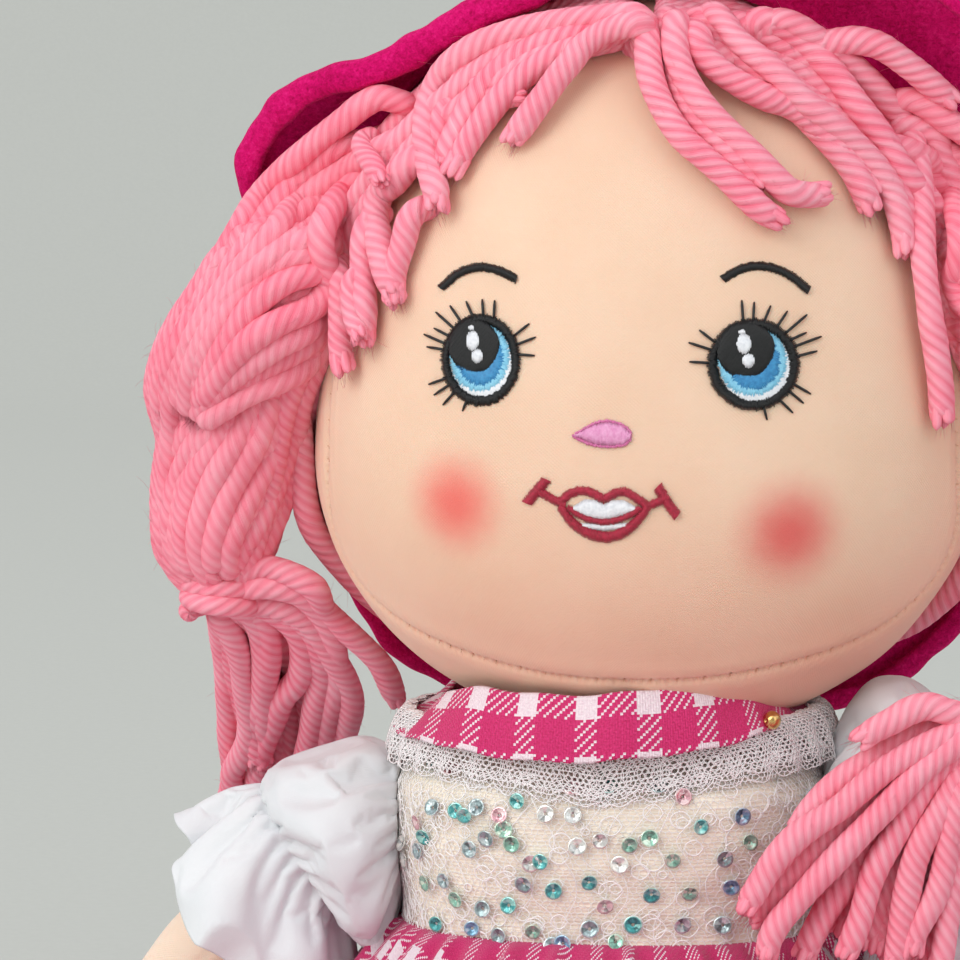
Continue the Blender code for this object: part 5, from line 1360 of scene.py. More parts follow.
def make_torso():
    columns = 160
    turns = np.arange(columns) * 2 * np.pi / columns
    rows = []
    for z in np.linspace(0.0, 0.081, 90):
        side_seam = [0.0005 * math.exp(-((math.sin(t)) ** 2 - 1) ** 2 / 0.002) for t in turns]
        rows.append([torso_point(t, z, -0.0001 - dent) for t, dent in zip(turns, side_seam)])
    mesh = Mesh()
    mesh.grid(rows, u=np.linspace(0, 0.22, columns + 1), v=np.linspace(0, 0.081, len(rows)), closed=True,
              caps=(True, True))
    torso = put(mesh.build("torso_cloth", FINISH["skin"]), "torso", ["torso"])
    mesh = Mesh()
    rows = []
    for share in np.linspace(0, 1, 40):
        bend = share * math.pi / 2
        if share < 0.5:
            tilt = -math.pi / 2 + share * 2 * (math.pi / 2 + 0.48)
            radius, z = 0.0128 * math.cos(tilt), 0.078 + 0.0128 * math.sin(tilt)
        else:
            radius, z = 0.0113 + 0.0001 * math.sin(bend), 0.0842 + (share - 0.5) * 2 * 0.0150
        rows.append([
            (NECK_X + radius * (1 + 0.012 * math.cos(9 * t)) * math.sin(t), -radius * math.cos(t), z)
            for t in turns[::2]
        ])
    mesh.grid(rows, u=np.linspace(0, 0.072, 81), v=np.linspace(0, 0.03, 40), closed=True, caps=(True, True))
    neck = put(mesh.build("neck_cloth", FINISH["skin"]), "neck", ["neck"])


BODICE_LOW, BODICE_HIGH = 0.0415, 0.0772
NECK_LACE_LONG = 0.0130


def sheet_grid(mesh, outer, inner, u, v):
    """A closed cloth from its outer and inner faces."""
    outer, inner = np.asarray(outer), np.asarray(inner)
    v = np.asarray(v)
    mesh.grid(np.concatenate([outer, inner[::-1]]), u=u, v=np.concatenate([v, v[::-1], v[:1]]), closed=True, ring=True)


def surface_tube(mesh, places, radius, sides=4):
    path = smooth_path(places, 0.0005)
    grid, run = tube_grid(path, np.full(len(path), radius), sides)
    mesh.grid(grid, v=run / 0.001, closed=True)


def lace_net(mesh, surface, low, high, turns, cell, radius, seed):
    """A net of six-sided meshes. surface gives a place for metres round the middle and metres of height."""
    chance = np.random.RandomState(seed)
    width = turns[1] - turns[0]
    columns = int(width / cell)
    rows = int((high - low) / (cell * 0.866)) + 1
    nodes = {}

    def knot(i, j, half):
        key = (i, j, half)
        if key not in nodes:
            x = turns[0] + (i + (0.5 if j % 2 else 0.0)) * cell + chance.uniform(-0.2, 0.2) * cell
            z = low + j * cell * 0.866 + (0.29 if half else -0.29) * cell + chance.uniform(-0.16, 0.16) * cell
            nodes[key] = (x, min(high, max(low, z)))
        return nodes[key]

    for j in range(rows):
        for i in range(columns):
            a, b = knot(i, j, False), knot(i, j, True)
            links = [(a, b)]
            if j + 1 < rows:
                left, right = (i, i + 1) if j % 2 else (i - 1, i)
                for other in (left, right):
                    if 0 <= other < columns:
                        links.append((b, knot(other, j + 1, False)))
            for (x0, z0), (x1, z1) in links:
                if abs(x0 - x1) + abs(z0 - z1) < 0.0002:
                    continue
                places = [surface(x0 + (x1 - x0) * s, z0 + (z1 - z0) * s) for s in (0, 0.5, 1)]
                grid, run = tube_grid(np.array(places), np.full(3, radius), 3)
                mesh.grid(grid, v=run / 0.001, closed=True)


def around_torso(x, z, grow):
    """A place on the bodice for metres round it from the front and a height."""
    return torso_point(x / 0.0375, z, grow)


SEQUIN_PX = (
    (127, 278, "blue"), (155, 375, "teal"), (345, 335, "pink"), (215, 385, "pink"), (575, 335, "grey"),
    (630, 420, "pink"), (712, 368, "green"), (750, 418, "teal"), (825, 355, "clear"), (910, 418, "grey"),
    (990, 450, "pink"), (450, 462, "teal"), (315, 490, "grey"), (240, 505, "teal"), (270, 515, "teal"),
    (160, 505, "grey"), (540, 500, "clear"), (635, 505, "clear"), (390, 510, "pink"), (405, 555, "green"),
    (345, 585, "grey"), (430, 600, "green"), (100, 560, "pink"), (125, 603, "teal"), (105, 655, "grey"),
    (295, 625, "grey"), (645, 605, "clear"), (723, 585, "clear"), (812, 598, "green"), (885, 580, "green"),
    (1045, 547, "teal"), (1175, 520, "blue"), (1390, 495, "blue"), (490, 660, "clear"), (525, 655, "teal"),
    (785, 665, "clear"), (955, 650, "green"), (1125, 655, "grey"), (1205, 610, "green"), (50, 700, "clear"),
    (40, 650, "clear"), (470, 730, "grey"), (565, 752, "teal"), (680, 722, "teal"), (888, 765, "teal"),
    (1010, 762, "green"), (1145, 750, "blue"), (128, 760, "green"), (198, 740, "grey"), (240, 800, "green"),
    (332, 825, "grey"), (415, 808, "teal"), (730, 800, "clear"), (168, 893, "teal"), (290, 893, "blue"),
    (385, 910, "grey"), (495, 890, "green"), (600, 930, "blue"), (685, 882, "grey"), (828, 868, "teal"),
    (768, 925, "green"), (985, 870, "grey"), (1115, 880, "grey"), (560, 940, "grey"),
)


def make_bodice():
    columns = 260
    turns = np.arange(columns) * 2 * np.pi / columns
    heights = np.linspace(BODICE_LOW, BODICE_HIGH, 70)
    soft = lambda t, z: 0.00018 * math.sin(13 * t + z * 300) + 0.00015 * math.sin(z * 900 + 3 * t)
    outer = [[torso_point(t, z, 0.0015 + soft(t, z)) for t in turns] for z in heights]
    inner = [[torso_point(t, z, 0.0006) for t in turns] for z in heights]
    mesh = Mesh()
    sheet_grid(mesh, outer, inner, np.linspace(0, 0.235, columns + 1), heights)
    cloth = put(mesh.build("bodice_cloth", FINISH["rib"]), "torso", ["bodice"])

    lace = Mesh()
    lift = 0.00205
    lace_net(lace, lambda x, z: around_torso(x, z, lift), BODICE_LOW + 0.0002, BODICE_HIGH + 0.003, (-0.1178, 0.1178),
             0.00118, 0.000080, 3)
    chance = np.random.RandomState(12)
    for x in np.arange(-0.116, 0.116, 0.0041):
        z, side = BODICE_LOW, chance.choice([-1, 1])
        spots = []
        for k in range(9):
            spots.append((x + side * 0.0021 * math.sin(k * 1.35) + chance.uniform(-0.0006, 0.0006), z))
            z += 0.0036
        surface_tube(lace, [around_torso(a, min(b, BODICE_HIGH + 0.002), lift + 0.0001) for a, b in spots], 0.00009)
        for k in range(12):
            cx, cz = x + chance.uniform(-0.003, 0.003), BODICE_LOW + 0.001 + k * 0.0026 + chance.uniform(-0.002, 0.002)
            middle = math.exp(-((abs(x) - 0.004) / 0.019) ** 2) * min(1, max(0, (cz - BODICE_LOW - 0.005) / 0.005))
            if chance.uniform(0, 1) < middle * 0.75:
                continue
            size = chance.uniform(0.0006, 0.0017)
            loop = [(cx + size * math.cos(a) * (1 + 0.3 * math.cos(2 * a)), cz + size * 1.2 * math.sin(a))
                    for a in np.linspace(0, 2 * np.pi, 10)]
            surface_tube(lace, [around_torso(a, b, lift + 0.00012) for a, b in loop], 0.00012)
    net = put(lace.build("bodice_lace", FINISH["lace"]), "torso", ())

    dense = Mesh()

    def over_shoulder(x, down):
        """The lace from under the collar, out over the shoulders, for metres round it and metres down it."""
        turn, share = x / 0.0375, down / NECK_LACE_LONG
        side = abs(math.sin(turn))
        width = 0.0372 + 0.0052 * share ** 0.6 + 0.0005 * math.cos(x * 900)
        depth = 0.0310 - 0.0016 * share ** 0.7 + 0.0003 * math.cos(x * 900 + 2) * (1 - side)
        z = 0.0812 + 0.002 * side - (0.0125 - 0.0035 * side) * share ** (1 + 0.6 * side)
        return np.array([width * math.sin(turn), -depth * math.cos(turn), z + COLLAR_TILT * width * math.sin(turn) * 0.4])

    lace_net(dense, over_shoulder, 0.0, NECK_LACE_LONG, (-0.1178, 0.1178), 0.00092, 0.00014, 8)
    band_lace = put(dense.build("neck_lace_net", FINISH["neck_lace"]), "torso", ["neck_lace"])
    dense = Mesh()
    lace_net(dense, lambda x, down: over_shoulder(x, down) + UP * 0.0005, 0.0, NECK_LACE_LONG - 0.001,
             (-0.1176, 0.1176), 0.00110, 0.00022, 18)
    for k in range(38):
        x = -0.1178 + (k + 0.5) * 0.0062
        for inset in (0.0002, 0.0016):
            scallop = [(x - 0.0031 + 0.0062 * share,
                        NECK_LACE_LONG - inset - 0.0012 + 0.0014 * math.sin(math.pi * share)
                        + chance.uniform(-0.0003, 0.0003)) for share in np.linspace(0, 1, 7)]
            surface_tube(dense, [over_shoulder(a, b) for a, b in scallop], 0.00012)
        for _ in range(3):
            cx, cd, size = x + chance.uniform(-0.003, 0.003), chance.uniform(0.003, 0.011), chance.uniform(0.0006, 0.0014)
            loop = [(cx + size * math.cos(a), cd + size * math.sin(a)) for a in np.linspace(0, 2 * np.pi, 9)]
            surface_tube(dense, [over_shoulder(a, b) for a, b in loop], 0.00012)
    put(dense.build("neck_lace_threads", FINISH["neck_lace"]), "torso", ())

    spots = []
    for cx, cy, kind in SEQUIN_PX:
        px, py = 380 + cx / 3.267, 660 + cy / 3.267
        place = at_depth(px, py, -0.0285)
        z = place[2]
        width = 0.040 * curve_value(TORSO_WIDTHS, z / 0.081) + 0.0023
        if abs(place[0]) > width * 0.94:
            continue
        share = abs(place[0]) / width
        turn = math.copysign(math.asin(min(1, share ** 1.2)), place[0]) if share > 0.5 else place[0] / width
        best = min(np.linspace(-1.5, 1.5, 301), key=lambda t: abs(torso_point(t, z, 0.0023)[0] - place[0]))
        spots.append((best, z, kind))
    kinds = list(SEQUINS)
    chance = random.Random(31)
    while len(spots) < 150:
        turn, z = chance.uniform(1.6, 2 * math.pi - 1.6), chance.uniform(BODICE_LOW + 0.002, BODICE_HIGH - 0.003)
        place = torso_point(turn, z, 0.0023)
        if all(np.linalg.norm(torso_point(t, h, 0.0023) - place) > 0.0042 for t, h, _ in spots):
            spots.append((turn, z, chance.choice(kinds)))
    cups = {kind: Mesh() for kind in kinds}
    for turn, z, kind in spots:
        if z < BODICE_LOW + 0.001:
            continue
        place = torso_point(turn, z, 0.0022)
        out = unit(np.cross(torso_point(turn + 0.01, z, 0.0022) - place, torso_point(turn, z + 0.001, 0.0022) - place))
        out = unit(out + np.array([chance.uniform(-0.3, 0.3), 0, chance.uniform(-0.3, 0.3)]))
        side = unit(np.cross(out, UP))
        up = np.cross(side, out)
        size = 0.00160 * chance.uniform(0.90, 1.05)
        profile = ((0.18, 0.00), (0.42, 0.02), (0.74, 0.12), (1.0, 0.24), (1.0, 0.29), (0.74, 0.17), (0.42, 0.07), (0.18, 0.05))
        spin = chance.uniform(0, 6.28)
        rings = [[
            place + out * (0.0002 + size * h * (1 + 0.25 * (k % 2))) + (side * math.cos(a) + up * math.sin(a)) * size * r
            for k, a in enumerate(np.arange(18) * 2 * np.pi / 18 + spin)
        ] for r, h in profile]
        shift = chance.randint(0, 400)
        cups[kind].grid(rings, u=shift + np.linspace(0, 1, 19), closed=True, ring=True,
                        v=[0, .25, .6, .98, .98, .6, .25, 0, 0])
    for kind, cup in cups.items():
        if cup.count:
            put(cup.build(f"sequins_{kind}", SEQUIN_FINISH[kind]), "torso", ())


COLLAR_TILT = math.tan(math.radians(3.0))


def collar_point(turn, share, grow):
    """The neckline's band: upright in front, narrow and nearly flat where it goes back over the shoulders."""
    side = abs(math.sin(turn))
    lean = (0.0022 + 0.0050 * side ** 2) * (share - 1) + grow
    width = 0.0408 if turn > math.pi else 0.0408 - 0.0050 * side ** 2
    x = (width + lean) * math.sin(turn)
    wave = 0.0004 * math.sin(7 * turn + 1) + 0.0003 * math.sin(17 * turn)
    front = math.cos(turn) > 0
    low = 0.0778 + (0.0034 * side ** 1.2 if front else 0.0034)
    tall = 0.0026 + 0.0091 * (1 - side ** 5)
    z = low + tall * (1 - share) + COLLAR_TILT * x
    return np.array([x, -(0.0338 + lean + wave) * math.cos(turn), z + wave * 0.8])


def make_collar():
    columns = 360
    turns = np.arange(columns) * 2 * np.pi / columns
    shares = np.linspace(0, 1, 22)
    bulge = lambda s: 0.0006 * math.sin(math.pi * s)
    outer = [[collar_point(t, s, 0.0003 + bulge(s)) for t in turns] for s in shares]
    inner = [[collar_point(t, s, -0.0010 + bulge(s)) for t in turns] for s in shares]
    mesh = Mesh()
    sheet_grid(mesh, outer, inner, np.linspace(0, 0.2288, columns + 1), shares * 0.0112 - 0.0038)
    collar = put(mesh.build("collar_cloth", FINISH["gingham"]), "torso", ["collar"])
    gold = Finish("gold_bead", Metallic=1.0, Roughness=0.2)
    shade = gold.noise(gold.place(), 900, 2)
    gold.link("Base Color", gold.mix(shade, srgb(196, 150, 84), srgb(240, 206, 146)))
    gold.link("Roughness", gold.ramp(shade, 0.2, 0.8, 0.14, 0.32))
    low, high = (np.array(corner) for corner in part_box("bead"))
    radius = (high[2] - low[2]) / 2
    middle = (low + high) / 2
    turn = min(np.linspace(0.2, 1.5, 400), key=lambda t: abs(collar_point(t, 0.8, 0.0003)[0] - middle[0]))
    seat = collar_point(turn, 0.8, 0.0003)
    out = unit(np.array([math.sin(turn) * 0.8, -math.cos(turn), 0.1]))
    sideways = unit(np.cross(out, UP))
    bead = Mesh()
    rings = []
    for tilt in np.linspace(0.35, math.pi - 0.35, 26):
        ring_radius = radius * math.sin(tilt) * (1 + 0.012 * math.cos(9 * tilt))
        rings.append([
            seat + out * radius * 0.9 + sideways * radius * 0.92 * -math.cos(tilt)
            + ring_radius * (out * math.cos(a) + np.cross(sideways, out) * math.sin(a))
            for a in np.arange(36) * 2 * np.pi / 36
        ])
    inner = [[seat + out * radius * 0.9 + (np.array(q) - seat - out * radius * 0.9) * (1, 1, 1) * 0.42 +
              sideways * (radius * 0.5 if k else -radius * 0.5) for q in rings[-1 if k else 0]] for k in (1, 0)]
    bead.grid(np.array(rings + inner), closed=True, ring=True)
    put(bead.build("collar_bead", gold.material), "torso", ["bead"])


# Limbs

def ball_tube(mesh, start, along, length, radius, shares, end_round, flat_share=1.0, columns=72, towards=None,
              seam=0.0004, pucker=0.0):
    towards = np.array([0.0, -1.0, 0.0]) if towards is None else towards
    across = unit(towards - along * (towards @ along))
    over = np.cross(along, across)
    stations = [(-radius * math.cos(b), radius * math.sin(b), 1.0) for b in np.linspace(0.12, math.pi / 2, 10)[:-1]]
    for share in np.linspace(0, 1, 60):
        flat = 1 - (1 - flat_share) * max(0, 2 * share - 1) ** 2
        stations.append((share * length, radius * curve_value(shares, share), flat))
    last = stations[-1][1]
    for bend in np.linspace(0, math.pi / 2 - 0.1, 14)[1:]:
        stations.append((length + last * end_round * math.sin(bend), last * math.cos(bend), flat_share))
    rows = []
    for distance, reach, flat in stations:
        ring = []
        for turn in np.arange(columns) * 2 * np.pi / columns:
            dent = seam * math.exp(-((math.sin(turn)) ** 2) / 0.004) * (math.cos(turn) > 0)
            lump = 0.00022 * math.sin(distance * 240 + 3 * turn) + pucker * math.sin(24 * turn) * math.exp(-(distance / 0.012) ** 2)
            size = max(0.0002, reach - dent - 0.00015 + lump * min(1, reach / 0.006))
            ring.append(start + along * distance + across * size * math.cos(turn) + over * size * flat * math.sin(turn))
        rows.append(ring)
    run = np.array([s[0] for s in stations])
    mesh.grid(rows, u=np.linspace(0, 2 * np.pi * radius, columns + 1), v=run, closed=True, caps=(True, True))


ARM_SHARES = ((0.0, 1.0), (0.25, 1.02), (0.55, 0.93), (0.78, 0.84), (0.92, 1.05), (1.0, 1.14))
LEG_SHARES = ((0.0, 1.0), (0.2, 1.04), (0.5, 0.92), (0.7, 0.98), (1.0, 0.76))
ARM_PIVOT = (0.050485, 0.061)
# Share, distance out and height of the sleeve's middle, its radius, and how far it is held, from armhole to hem
SLEEVE_STATIONS = (
    (0.00, 0.0392, 0.0605, 0.0118, 1.0), (0.10, 0.0425, 0.0586, 0.0164, 0.0), (0.25, 0.0468, 0.0560, 0.0191, 0.0),
    (0.40, 0.0518, 0.0550, 0.0181, 0.0), (0.50, 0.0556, 0.0552, 0.0148, 0.0), (0.55, 0.0576, 0.0552, 0.0134, 1.0),
    (0.60, 0.0592, 0.0544, 0.0146, 0.0), (0.78, 0.0632, 0.0508, 0.0196, 0.0), (1.00, 0.0664, 0.0474, 0.0222, 0.0)
)
# How far the left sleeve's middle is pushed up along its length
SLEEVE_LIFTS = ((0.0, 0.0), (0.10, 0.0085), (0.25, 0.0120), (0.40, 0.0105), (0.55, 0.0065), (1.0, 0.0040))


def make_arms():
    for side, sign in SIDES.items():
        pivot = np.array([sign * ARM_PIVOT[0], 0, ARM_PIVOT[1]])
        along = np.array([sign * math.sqrt(0.5), 0, -math.sqrt(0.5)])
        mesh = Mesh()
        ball_tube(mesh, pivot, along, 0.069, 0.0095, ARM_SHARES, 1.25, 0.72, seam=0.00035)
        root = pivot + along * 0.069 * 0.93
        way = unit(np.array([0, -1, 0]) + along * 0.8)
        ball_tube(mesh, root, way, 0.0125, 0.0042, ((0, 1), (0.4, 1), (0.8, 0.9), (1, 0.75)), 1.0, towards=UP,
                  columns=40, seam=0.0)
        arm = put(mesh.build(f"arm_{side}_cloth", FINISH["skin"]), f"arm_{side}", [f"arm_{side}"])

        mesh = Mesh()
        middle = 0.040 * curve_value(TORSO_WIDTHS, 0.061 / 0.081)
        start = np.array([sign * (middle - 0.0025), 0, 0.061])
        rows = []
        for share in np.linspace(0, 1, 24):
            radius = 0.0092 * (0.86 + 0.14 * math.sin(math.pi * share))
            rows.append([
                start + np.array([sign * 0.005 * share, 0, 0]) + radius * (1 + 0.02 * math.cos(12 * t))
                * np.array([0, -math.cos(t), math.sin(t)]) for t in np.arange(72) * 2 * np.pi / 72
            ])
        mesh.grid(rows, u=np.linspace(0, 0.058, 73), v=np.linspace(0, 0.005, 24), closed=True, caps=(True, True))
        pad = put(mesh.build(f"shoulder_{side}_cloth", FINISH["skin"]), f"shoulder_{side}", [f"shoulder_{side}"])


SETTLE_SCALE = 10.0


def settle(rows, held, grow, pressure, frames, cap):
    """Lets a tube of cloth, cut larger than its place, find its folds by simulation. held says which rows stay."""
    rows = np.asarray(rows)
    count, columns = rows.shape[:2]
    mesh = Mesh()
    mesh.grid(rows * SETTLE_SCALE, closed=True)
    cloth = mesh.build("settling_cloth", None)
    group = cloth.vertex_groups.new(name="held")
    for i, share in enumerate(held):
        if share > 0:
            group.add(list(range(i * columns, (i + 1) * columns)), share, "REPLACE")
    modifier = cloth.modifiers.new("cloth", "CLOTH")
    settings = modifier.settings
    settings.quality = 6
    settings.mass = 0.25
    settings.tension_stiffness = settings.compression_stiffness = 18
    settings.shear_stiffness = 8
    settings.bending_stiffness = 3.0
    settings.air_damping = 3
    settings.vertex_group_mass = "held"
    settings.pin_stiffness = 1
    settings.shrink_min = -grow
    settings.use_pressure = True
    settings.uniform_pressure_force = pressure
    settings.effector_weights.gravity = 0.15
    modifier.collision_settings.use_collision = False
    modifier.point_cache.frame_start, modifier.point_cache.frame_end = 1, frames
    scene = bpy.context.scene
    for frame_number in range(1, frames + 1):
        scene.frame_set(frame_number)
    solved = cloth.evaluated_get(bpy.context.evaluated_depsgraph_get()).data
    places = np.empty(len(solved.vertices) * 3, np.float32)
    solved.vertices.foreach_get("co", places)
    places = places.reshape(count, columns, 3).astype(float) / SETTLE_SCALE
    scene.frame_set(1)
    bpy.data.objects.remove(cloth, do_unlink=True)
    moved = places - rows
    size = np.linalg.norm(moved, axis=2, keepdims=True)
    return rows + moved * np.minimum(1, cap / np.maximum(size, 1e-9))


def finer(rows):
    """The same tube with a row and a column between each two, on a smooth surface."""
    for axis in (0, 1):
        if axis == 0:
            before = np.concatenate([rows[:1] * 2 - rows[1:2], rows[:-1]])
            after, last = rows[1:], rows[-1:] * 2 - rows[-2:-1]
            far = np.concatenate([rows[2:], last])
            middle = (9 * (rows[:-1] + after) - before[:-1] - far) / 16
            whole = np.empty((len(rows) * 2 - 1,) + rows.shape[1:])
            whole[::2], whole[1::2] = rows, middle
        else:
            ahead, behind, far = np.roll(rows, -1, 1), np.roll(rows, 1, 1), np.roll(rows, -2, 1)
            middle = (9 * (rows + ahead) - behind - far) / 16
            whole = np.empty((len(rows), rows.shape[1] * 2, 3))
            whole[:, ::2], whole[:, 1::2] = rows, middle
        rows = whole
    return rows


def outward(rows):
    """Directions square to a tube of cloth."""
    down = np.gradient(rows, axis=0)
    along = (np.roll(rows, -1, 1) - np.roll(rows, 1, 1)) / 2
    across = np.cross(along, down)
    across /= np.maximum(np.linalg.norm(across, axis=2, keepdims=True), 1e-12)
    middle = rows.mean(1, keepdims=True)
    return across if ((rows - middle) * across).sum() > 0 else -across


def clear_of_arm(rows, pivot, along, sign):
    """The cloth, moved out of the arm and of the bodice."""
    flat = rows.reshape(-1, 3).copy()
    distance = np.clip((flat - pivot) @ along, 0, 0.069)
    radius = 0.0095 * np.array([curve_value(ARM_SHARES, share) for share in distance / 0.069]) + 0.0009
    nearest = pivot + distance[:, None] * along
    away = flat - nearest
    size = np.maximum(np.linalg.norm(away, axis=1), 1e-9)
    flat = np.where((size < radius)[:, None], nearest + away * (radius / size)[:, None], flat)
    for place in flat:
        level = min(0.99, max(0.02, place[2] / 0.081))
        width = 0.040 * curve_value(TORSO_WIDTHS, level) + 0.0026
        depth = 0.0275 * curve_value(TORSO_DEPTHS, level) + 0.0026
        if abs(place[1]) < depth:
            wall = width * (1 - (abs(place[1]) / depth) ** 2.4) ** (1 / 2.4)
            if sign * place[0] < wall and place[2] < 0.081:
                place[0] = sign * wall
    return flat.reshape(rows.shape)


def make_sleeve(side, sign):
    """A puff of satin, gathered above a wide ruffle."""
    chance = np.random.RandomState(60 + sign)
    pivot = np.array([sign * ARM_PIVOT[0], 0, ARM_PIVOT[1]])
    along = np.array([sign * math.sqrt(0.5), 0, -math.sqrt(0.5)])
    shares = np.linspace(0, 1, 64)
    stations = np.array(SLEEVE_STATIONS)
    held = np.zeros(len(shares))
    for share, *_, hold in SLEEVE_STATIONS:
        if hold:
            held[np.argmin(np.abs(shares - share))] = hold
    lift, forward = (1.0, 0.0060) if side == "left" else (0.0, 0.0)
    columns = 132
    turns = np.arange(columns) * 2 * np.pi / columns
    phases = chance.uniform(0, 6.28, 8)
    rows = []
    for share in shares:
        x, z, radius = (curve_value(tuple(zip(stations[:, 0], stations[:, k])), share) for k in (1, 2, 3))
        bend = math.radians(34) * min(1, share / 0.55) + math.radians(10) * max(0, share - 0.55) / 0.45
        ahead = np.array([sign * math.cos(bend), 0, -math.sin(bend)])
        across = np.array([0, -1.0, 0])
        over = np.cross(ahead, across)
        shift = math.sin(math.pi * min(1, share / 0.9)) ** 2
        centre = np.array([sign * x, -forward * shift, z + lift * curve_value(SLEEVE_LIFTS, share)])
        on_ruffle = max(0.0, (share - 0.56) / 0.44)
        fold = 1 + 0.02 * np.sin(7 * turns + phases[0]) + 0.015 * np.sin(11 * turns + phases[1] + 3 * share)
        fold += 0.10 * on_ruffle * np.sin(5 * turns + phases[2]) + 0.06 * on_ruffle * np.sin(8 * turns + phases[3])
        gather = math.exp(-((share - 0.55) / 0.06) ** 2) + math.exp(-(share / 0.05) ** 2)
        fold += 0.035 * gather * np.sin(22 * turns + phases[4] + np.sin(3 * turns))
        rows.append([
            centre + ahead * 0.0100 * on_ruffle * math.cos(t) ** 2
            + radius * f * (across * math.cos(t) * (1 - 0.22 * on_ruffle) + over * math.sin(t)) for f, t in zip(fold, turns)
        ])
    rows = clear_of_arm(np.array(rows), pivot, along, sign)
    rows = settle(rows, held, 0.13, 1.2, 22, 0.0050)
    rows = clear_of_arm(finer(rows), pivot, along, sign)
    normals = outward(rows)
    mesh = Mesh()
    sheet_grid(mesh, rows + normals * 0.0003, rows - normals * 0.0003, np.linspace(0, 0.15, rows.shape[1] + 1),
               np.linspace(0, 0.05, len(rows)))
    sleeve = put(mesh.build(f"sleeve_{side}_satin", FINISH["satin"]), f"arm_{side}", [f"sleeve_{side}"])


SKIRT_TOP_Z = 0.081 * 8 / 14 - 0.0028
SKIRT_SPLAY = math.tan(math.radians(6))


def cover_height(x, y):
    nearest = min(abs(x - sign * (0.020 + (-0.034 - min(y, -0.034)) * SKIRT_SPLAY)) for sign in (-1, 1))
    beside, behind = max(0, nearest - 0.0125), max(0, y + 0.034)
    return 0.0136 + 0.0125 + 0.0058 - 0.85 * (beside + behind)


def skirt_point(share, turn, below):
    grow = 0.0006 + 0.0016 - below
    level = SKIRT_TOP_Z / 0.081
    width = 0.040 * curve_value(TORSO_WIDTHS, level) + grow
    depth = 0.0275 * curve_value(TORSO_DEPTHS, level) + grow
    c, s = math.cos(turn), math.sin(turn)
    size = (abs(c) ** 2.4 + abs(s) ** 2.4) ** (-1 / 2.4)
    waist = np.array([width * c * size, depth * s * size])
    hem = np.array([0.079 * c, (0.078 if s > 0 else 0.092) * s])
    x, y = waist + (hem - waist) * share
    drape = SKIRT_TOP_Z - (SKIRT_TOP_Z - 0.0072) * math.sin(share * math.pi / 2) ** 1.3
    gathers = (0.0010 * math.cos(39 * turn + 0.6 * math.sin(5 * turn)) + 0.0006 * math.cos(61 * turn)) * math.exp(
        -((share - 0.07) / 0.14) ** 2) * min(1, share * 12)
    fold = (math.cos(13 * turn + 0.35 * math.sin(4 * turn)) * 0.0026 + 0.0007 * math.cos(26 * turn + 1)) * min(1, 2 * share)
    z = max(drape, cover_height(x, y)) + fold + gathers - below * min(1, 4 * share)
    return np.array([x, y, z])


def make_skirt():
    columns = 480
    turns = np.arange(columns) * 2 * np.pi / columns
    shares = np.linspace(0, 1, 64)
    upper = np.array([[skirt_point(s, t, 0.0) for t in turns] for s in shares])
    lower = np.array([[skirt_point(s, t, 0.0012) for t in turns] for s in shares])
    mesh = Mesh()
    sheet_grid(mesh, upper, lower, np.linspace(0, 0.47, columns + 1), shares * 0.068)
    skirt = put(mesh.build("skirt_cloth", FINISH["gingham"]), "torso", ["skirt"])


def make_legs():
    for side, sign in SIDES.items():
        pivot = np.array([sign * 0.020, -0.034, 0.0136])
        along = np.array([sign * math.sin(math.radians(6)), -math.cos(math.radians(6)), 0])
        mesh = Mesh()
        ball_tube(mesh, pivot, along, 0.104, 0.0125, LEG_SHARES, 0.8, towards=UP, seam=0.0)
        leg = put(mesh.build(f"leg_{side}_cloth", FINISH["skin"]), f"leg_{side}", [f"leg_{side}"])
        centre = pivot + along * 0.110
        centre[2] = 0.0218
        sideways = np.cross(along, UP)
        rows = []
        columns = 120
        for tilt in np.linspace(0.05, math.pi - 0.05, 90):
            height = -math.cos(tilt)
            round_share = math.sin(tilt) ** 0.8
            toe = 1 - 0.30 * max(0, height)
            ring = []
            for turn in np.arange(columns) * 2 * np.pi / columns:
                dent = 0.0006 * math.exp(-(math.cos(turn) / 0.07) ** 2)
                sole = 0.0007 * math.exp(-((math.sin(turn) - 0.45) / 0.06) ** 2)
                lump = 0.0003 * math.sin(5 * turn + height * 6)
                size = 1 + (lump - dent - sole) / 0.0136
                ring.append(
                    centre + UP * 0.0215 * height + sideways * 0.0138 * round_share * toe * math.cos(turn) * size
                    + along * 0.0135 * round_share * toe * math.sin(turn) * size
                )
            rows.append(ring)
        mesh = Mesh()
        mesh.grid(rows, u=np.linspace(0, 0.086, columns + 1), v=np.linspace(0, 0.05, 90), closed=True, caps=(True, True))
        shoe = put(mesh.build(f"shoe_{side}_fleece", FINISH["fleece"]), f"leg_{side}", [f"shoe_{side}"])


# The room

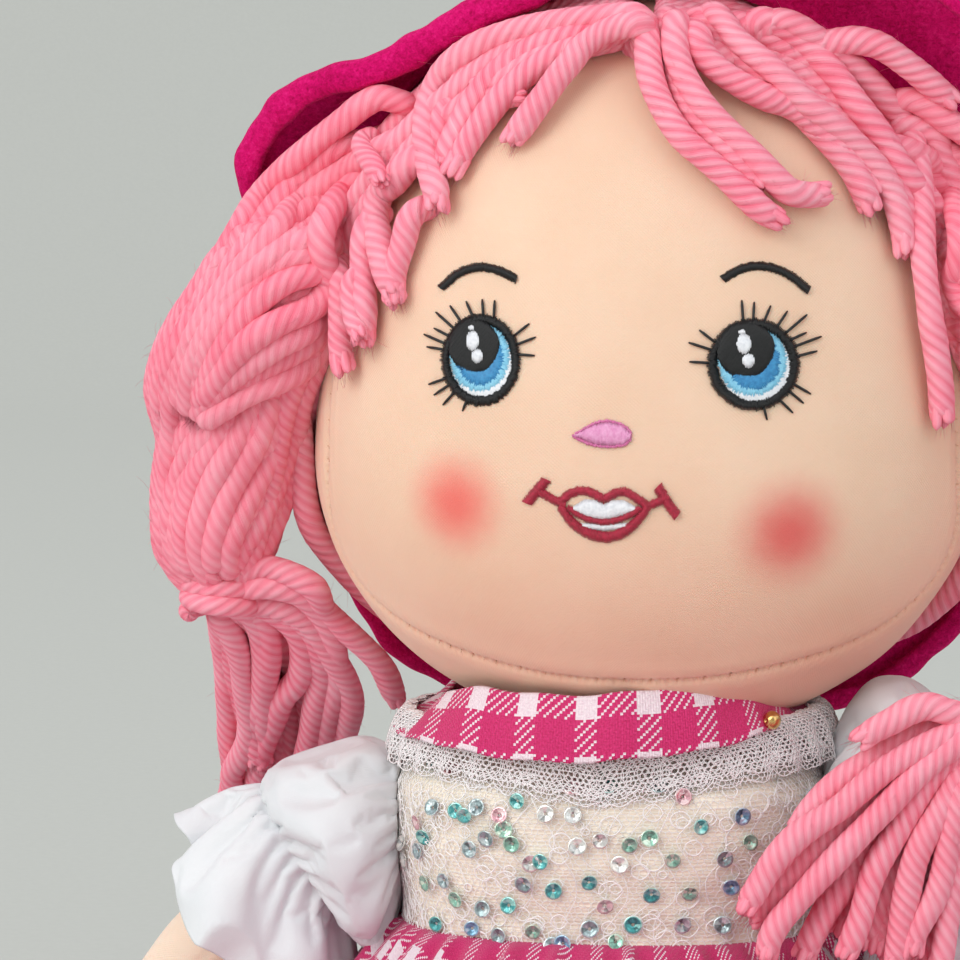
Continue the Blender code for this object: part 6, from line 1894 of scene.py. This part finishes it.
def make_room():
    floor = Finish("backdrop", Roughness=0.95)
    grain = floor.noise(floor.place(), 420, 2)
    floor.link("Base Color", floor.mix(floor.ramp(grain, 0.3, 0.7), srgb(198, 200, 195), srgb(204, 206, 201)))
    seen = floor.node("Emission", {"Color": srgb(192, 194, 189), "Strength": 1.0})
    share = floor.math("MULTIPLY", floor.node("LightPath").outputs["Is Camera Ray"], 0.65)
    both = floor.node("MixShader", {0: share, 1: floor.shader.outputs[0], 2: seen.outputs[0]})
    floor.tree.links.new(both.outputs[0], floor.tree.nodes["Material Output"].inputs["Surface"])
    rings = [(0.002, 0.0), (1.0, 0.0), (1.5, 0.0)]
    rings += [(1.5 + 0.6 * math.sin(a), 0.6 - 0.6 * math.cos(a)) for a in np.linspace(0.1, math.pi / 2, 24)]
    rings += [(2.1, 0.9), (2.1, 1.3)]
    turns = np.arange(96) * 2 * np.pi / 96
    mesh = Mesh()
    mesh.grid([[(r * math.cos(t), r * math.sin(t), z - 0.0002) for t in turns] for r, z in rings], closed=True,
              caps=(True, False))
    mesh.build("backdrop", floor.material)

    world = bpy.data.worlds.new("room")
    world.use_nodes = True
    world.node_tree.nodes["Background"].inputs["Color"].default_value = (0.93, 0.96, 1.0, 1)
    world.node_tree.nodes["Background"].inputs["Strength"].default_value = 1.08
    bpy.context.scene.world = world
    for name, place, size, power, colour in (
        ("window", (-0.80, -1.08, 0.84), 0.9, 9.0, (1.0, 0.985, 0.96)),
        ("low", (-1.15, -0.85, 0.10), 0.8, 3.4, (1.0, 0.98, 0.96)),
        ("fill", (0.95, -0.95, 0.55), 1.0, 3.0, (0.96, 0.98, 1.0)),
    ):
        data = bpy.data.lights.new(name, "AREA")
        data.shape, data.size, data.energy, data.color = "SQUARE", size, power, colour
        lamp = bpy.data.objects.new(name, data)
        bpy.context.scene.collection.objects.link(lamp)
        lamp.location = place
        lamp.rotation_mode = "QUATERNION"
        lamp.rotation_quaternion = (Vector(HEAD) - Vector(place)).to_track_quat("-Z", "Y")
    bpy.context.scene.view_settings.view_transform = "Standard"


make_camera()
make_room()
make_torso()
make_head()
make_eyes()
make_nose_and_mouth()
make_hair_cap()
for side in SIDES:
    make_bunch(side)
make_tails()
make_hat()
make_bodice()
make_collar()
make_arms()
for side, sign in SIDES.items():
    make_sleeve(side, sign)
make_skirt()
make_legs()

bpy.context.view_layer.update()
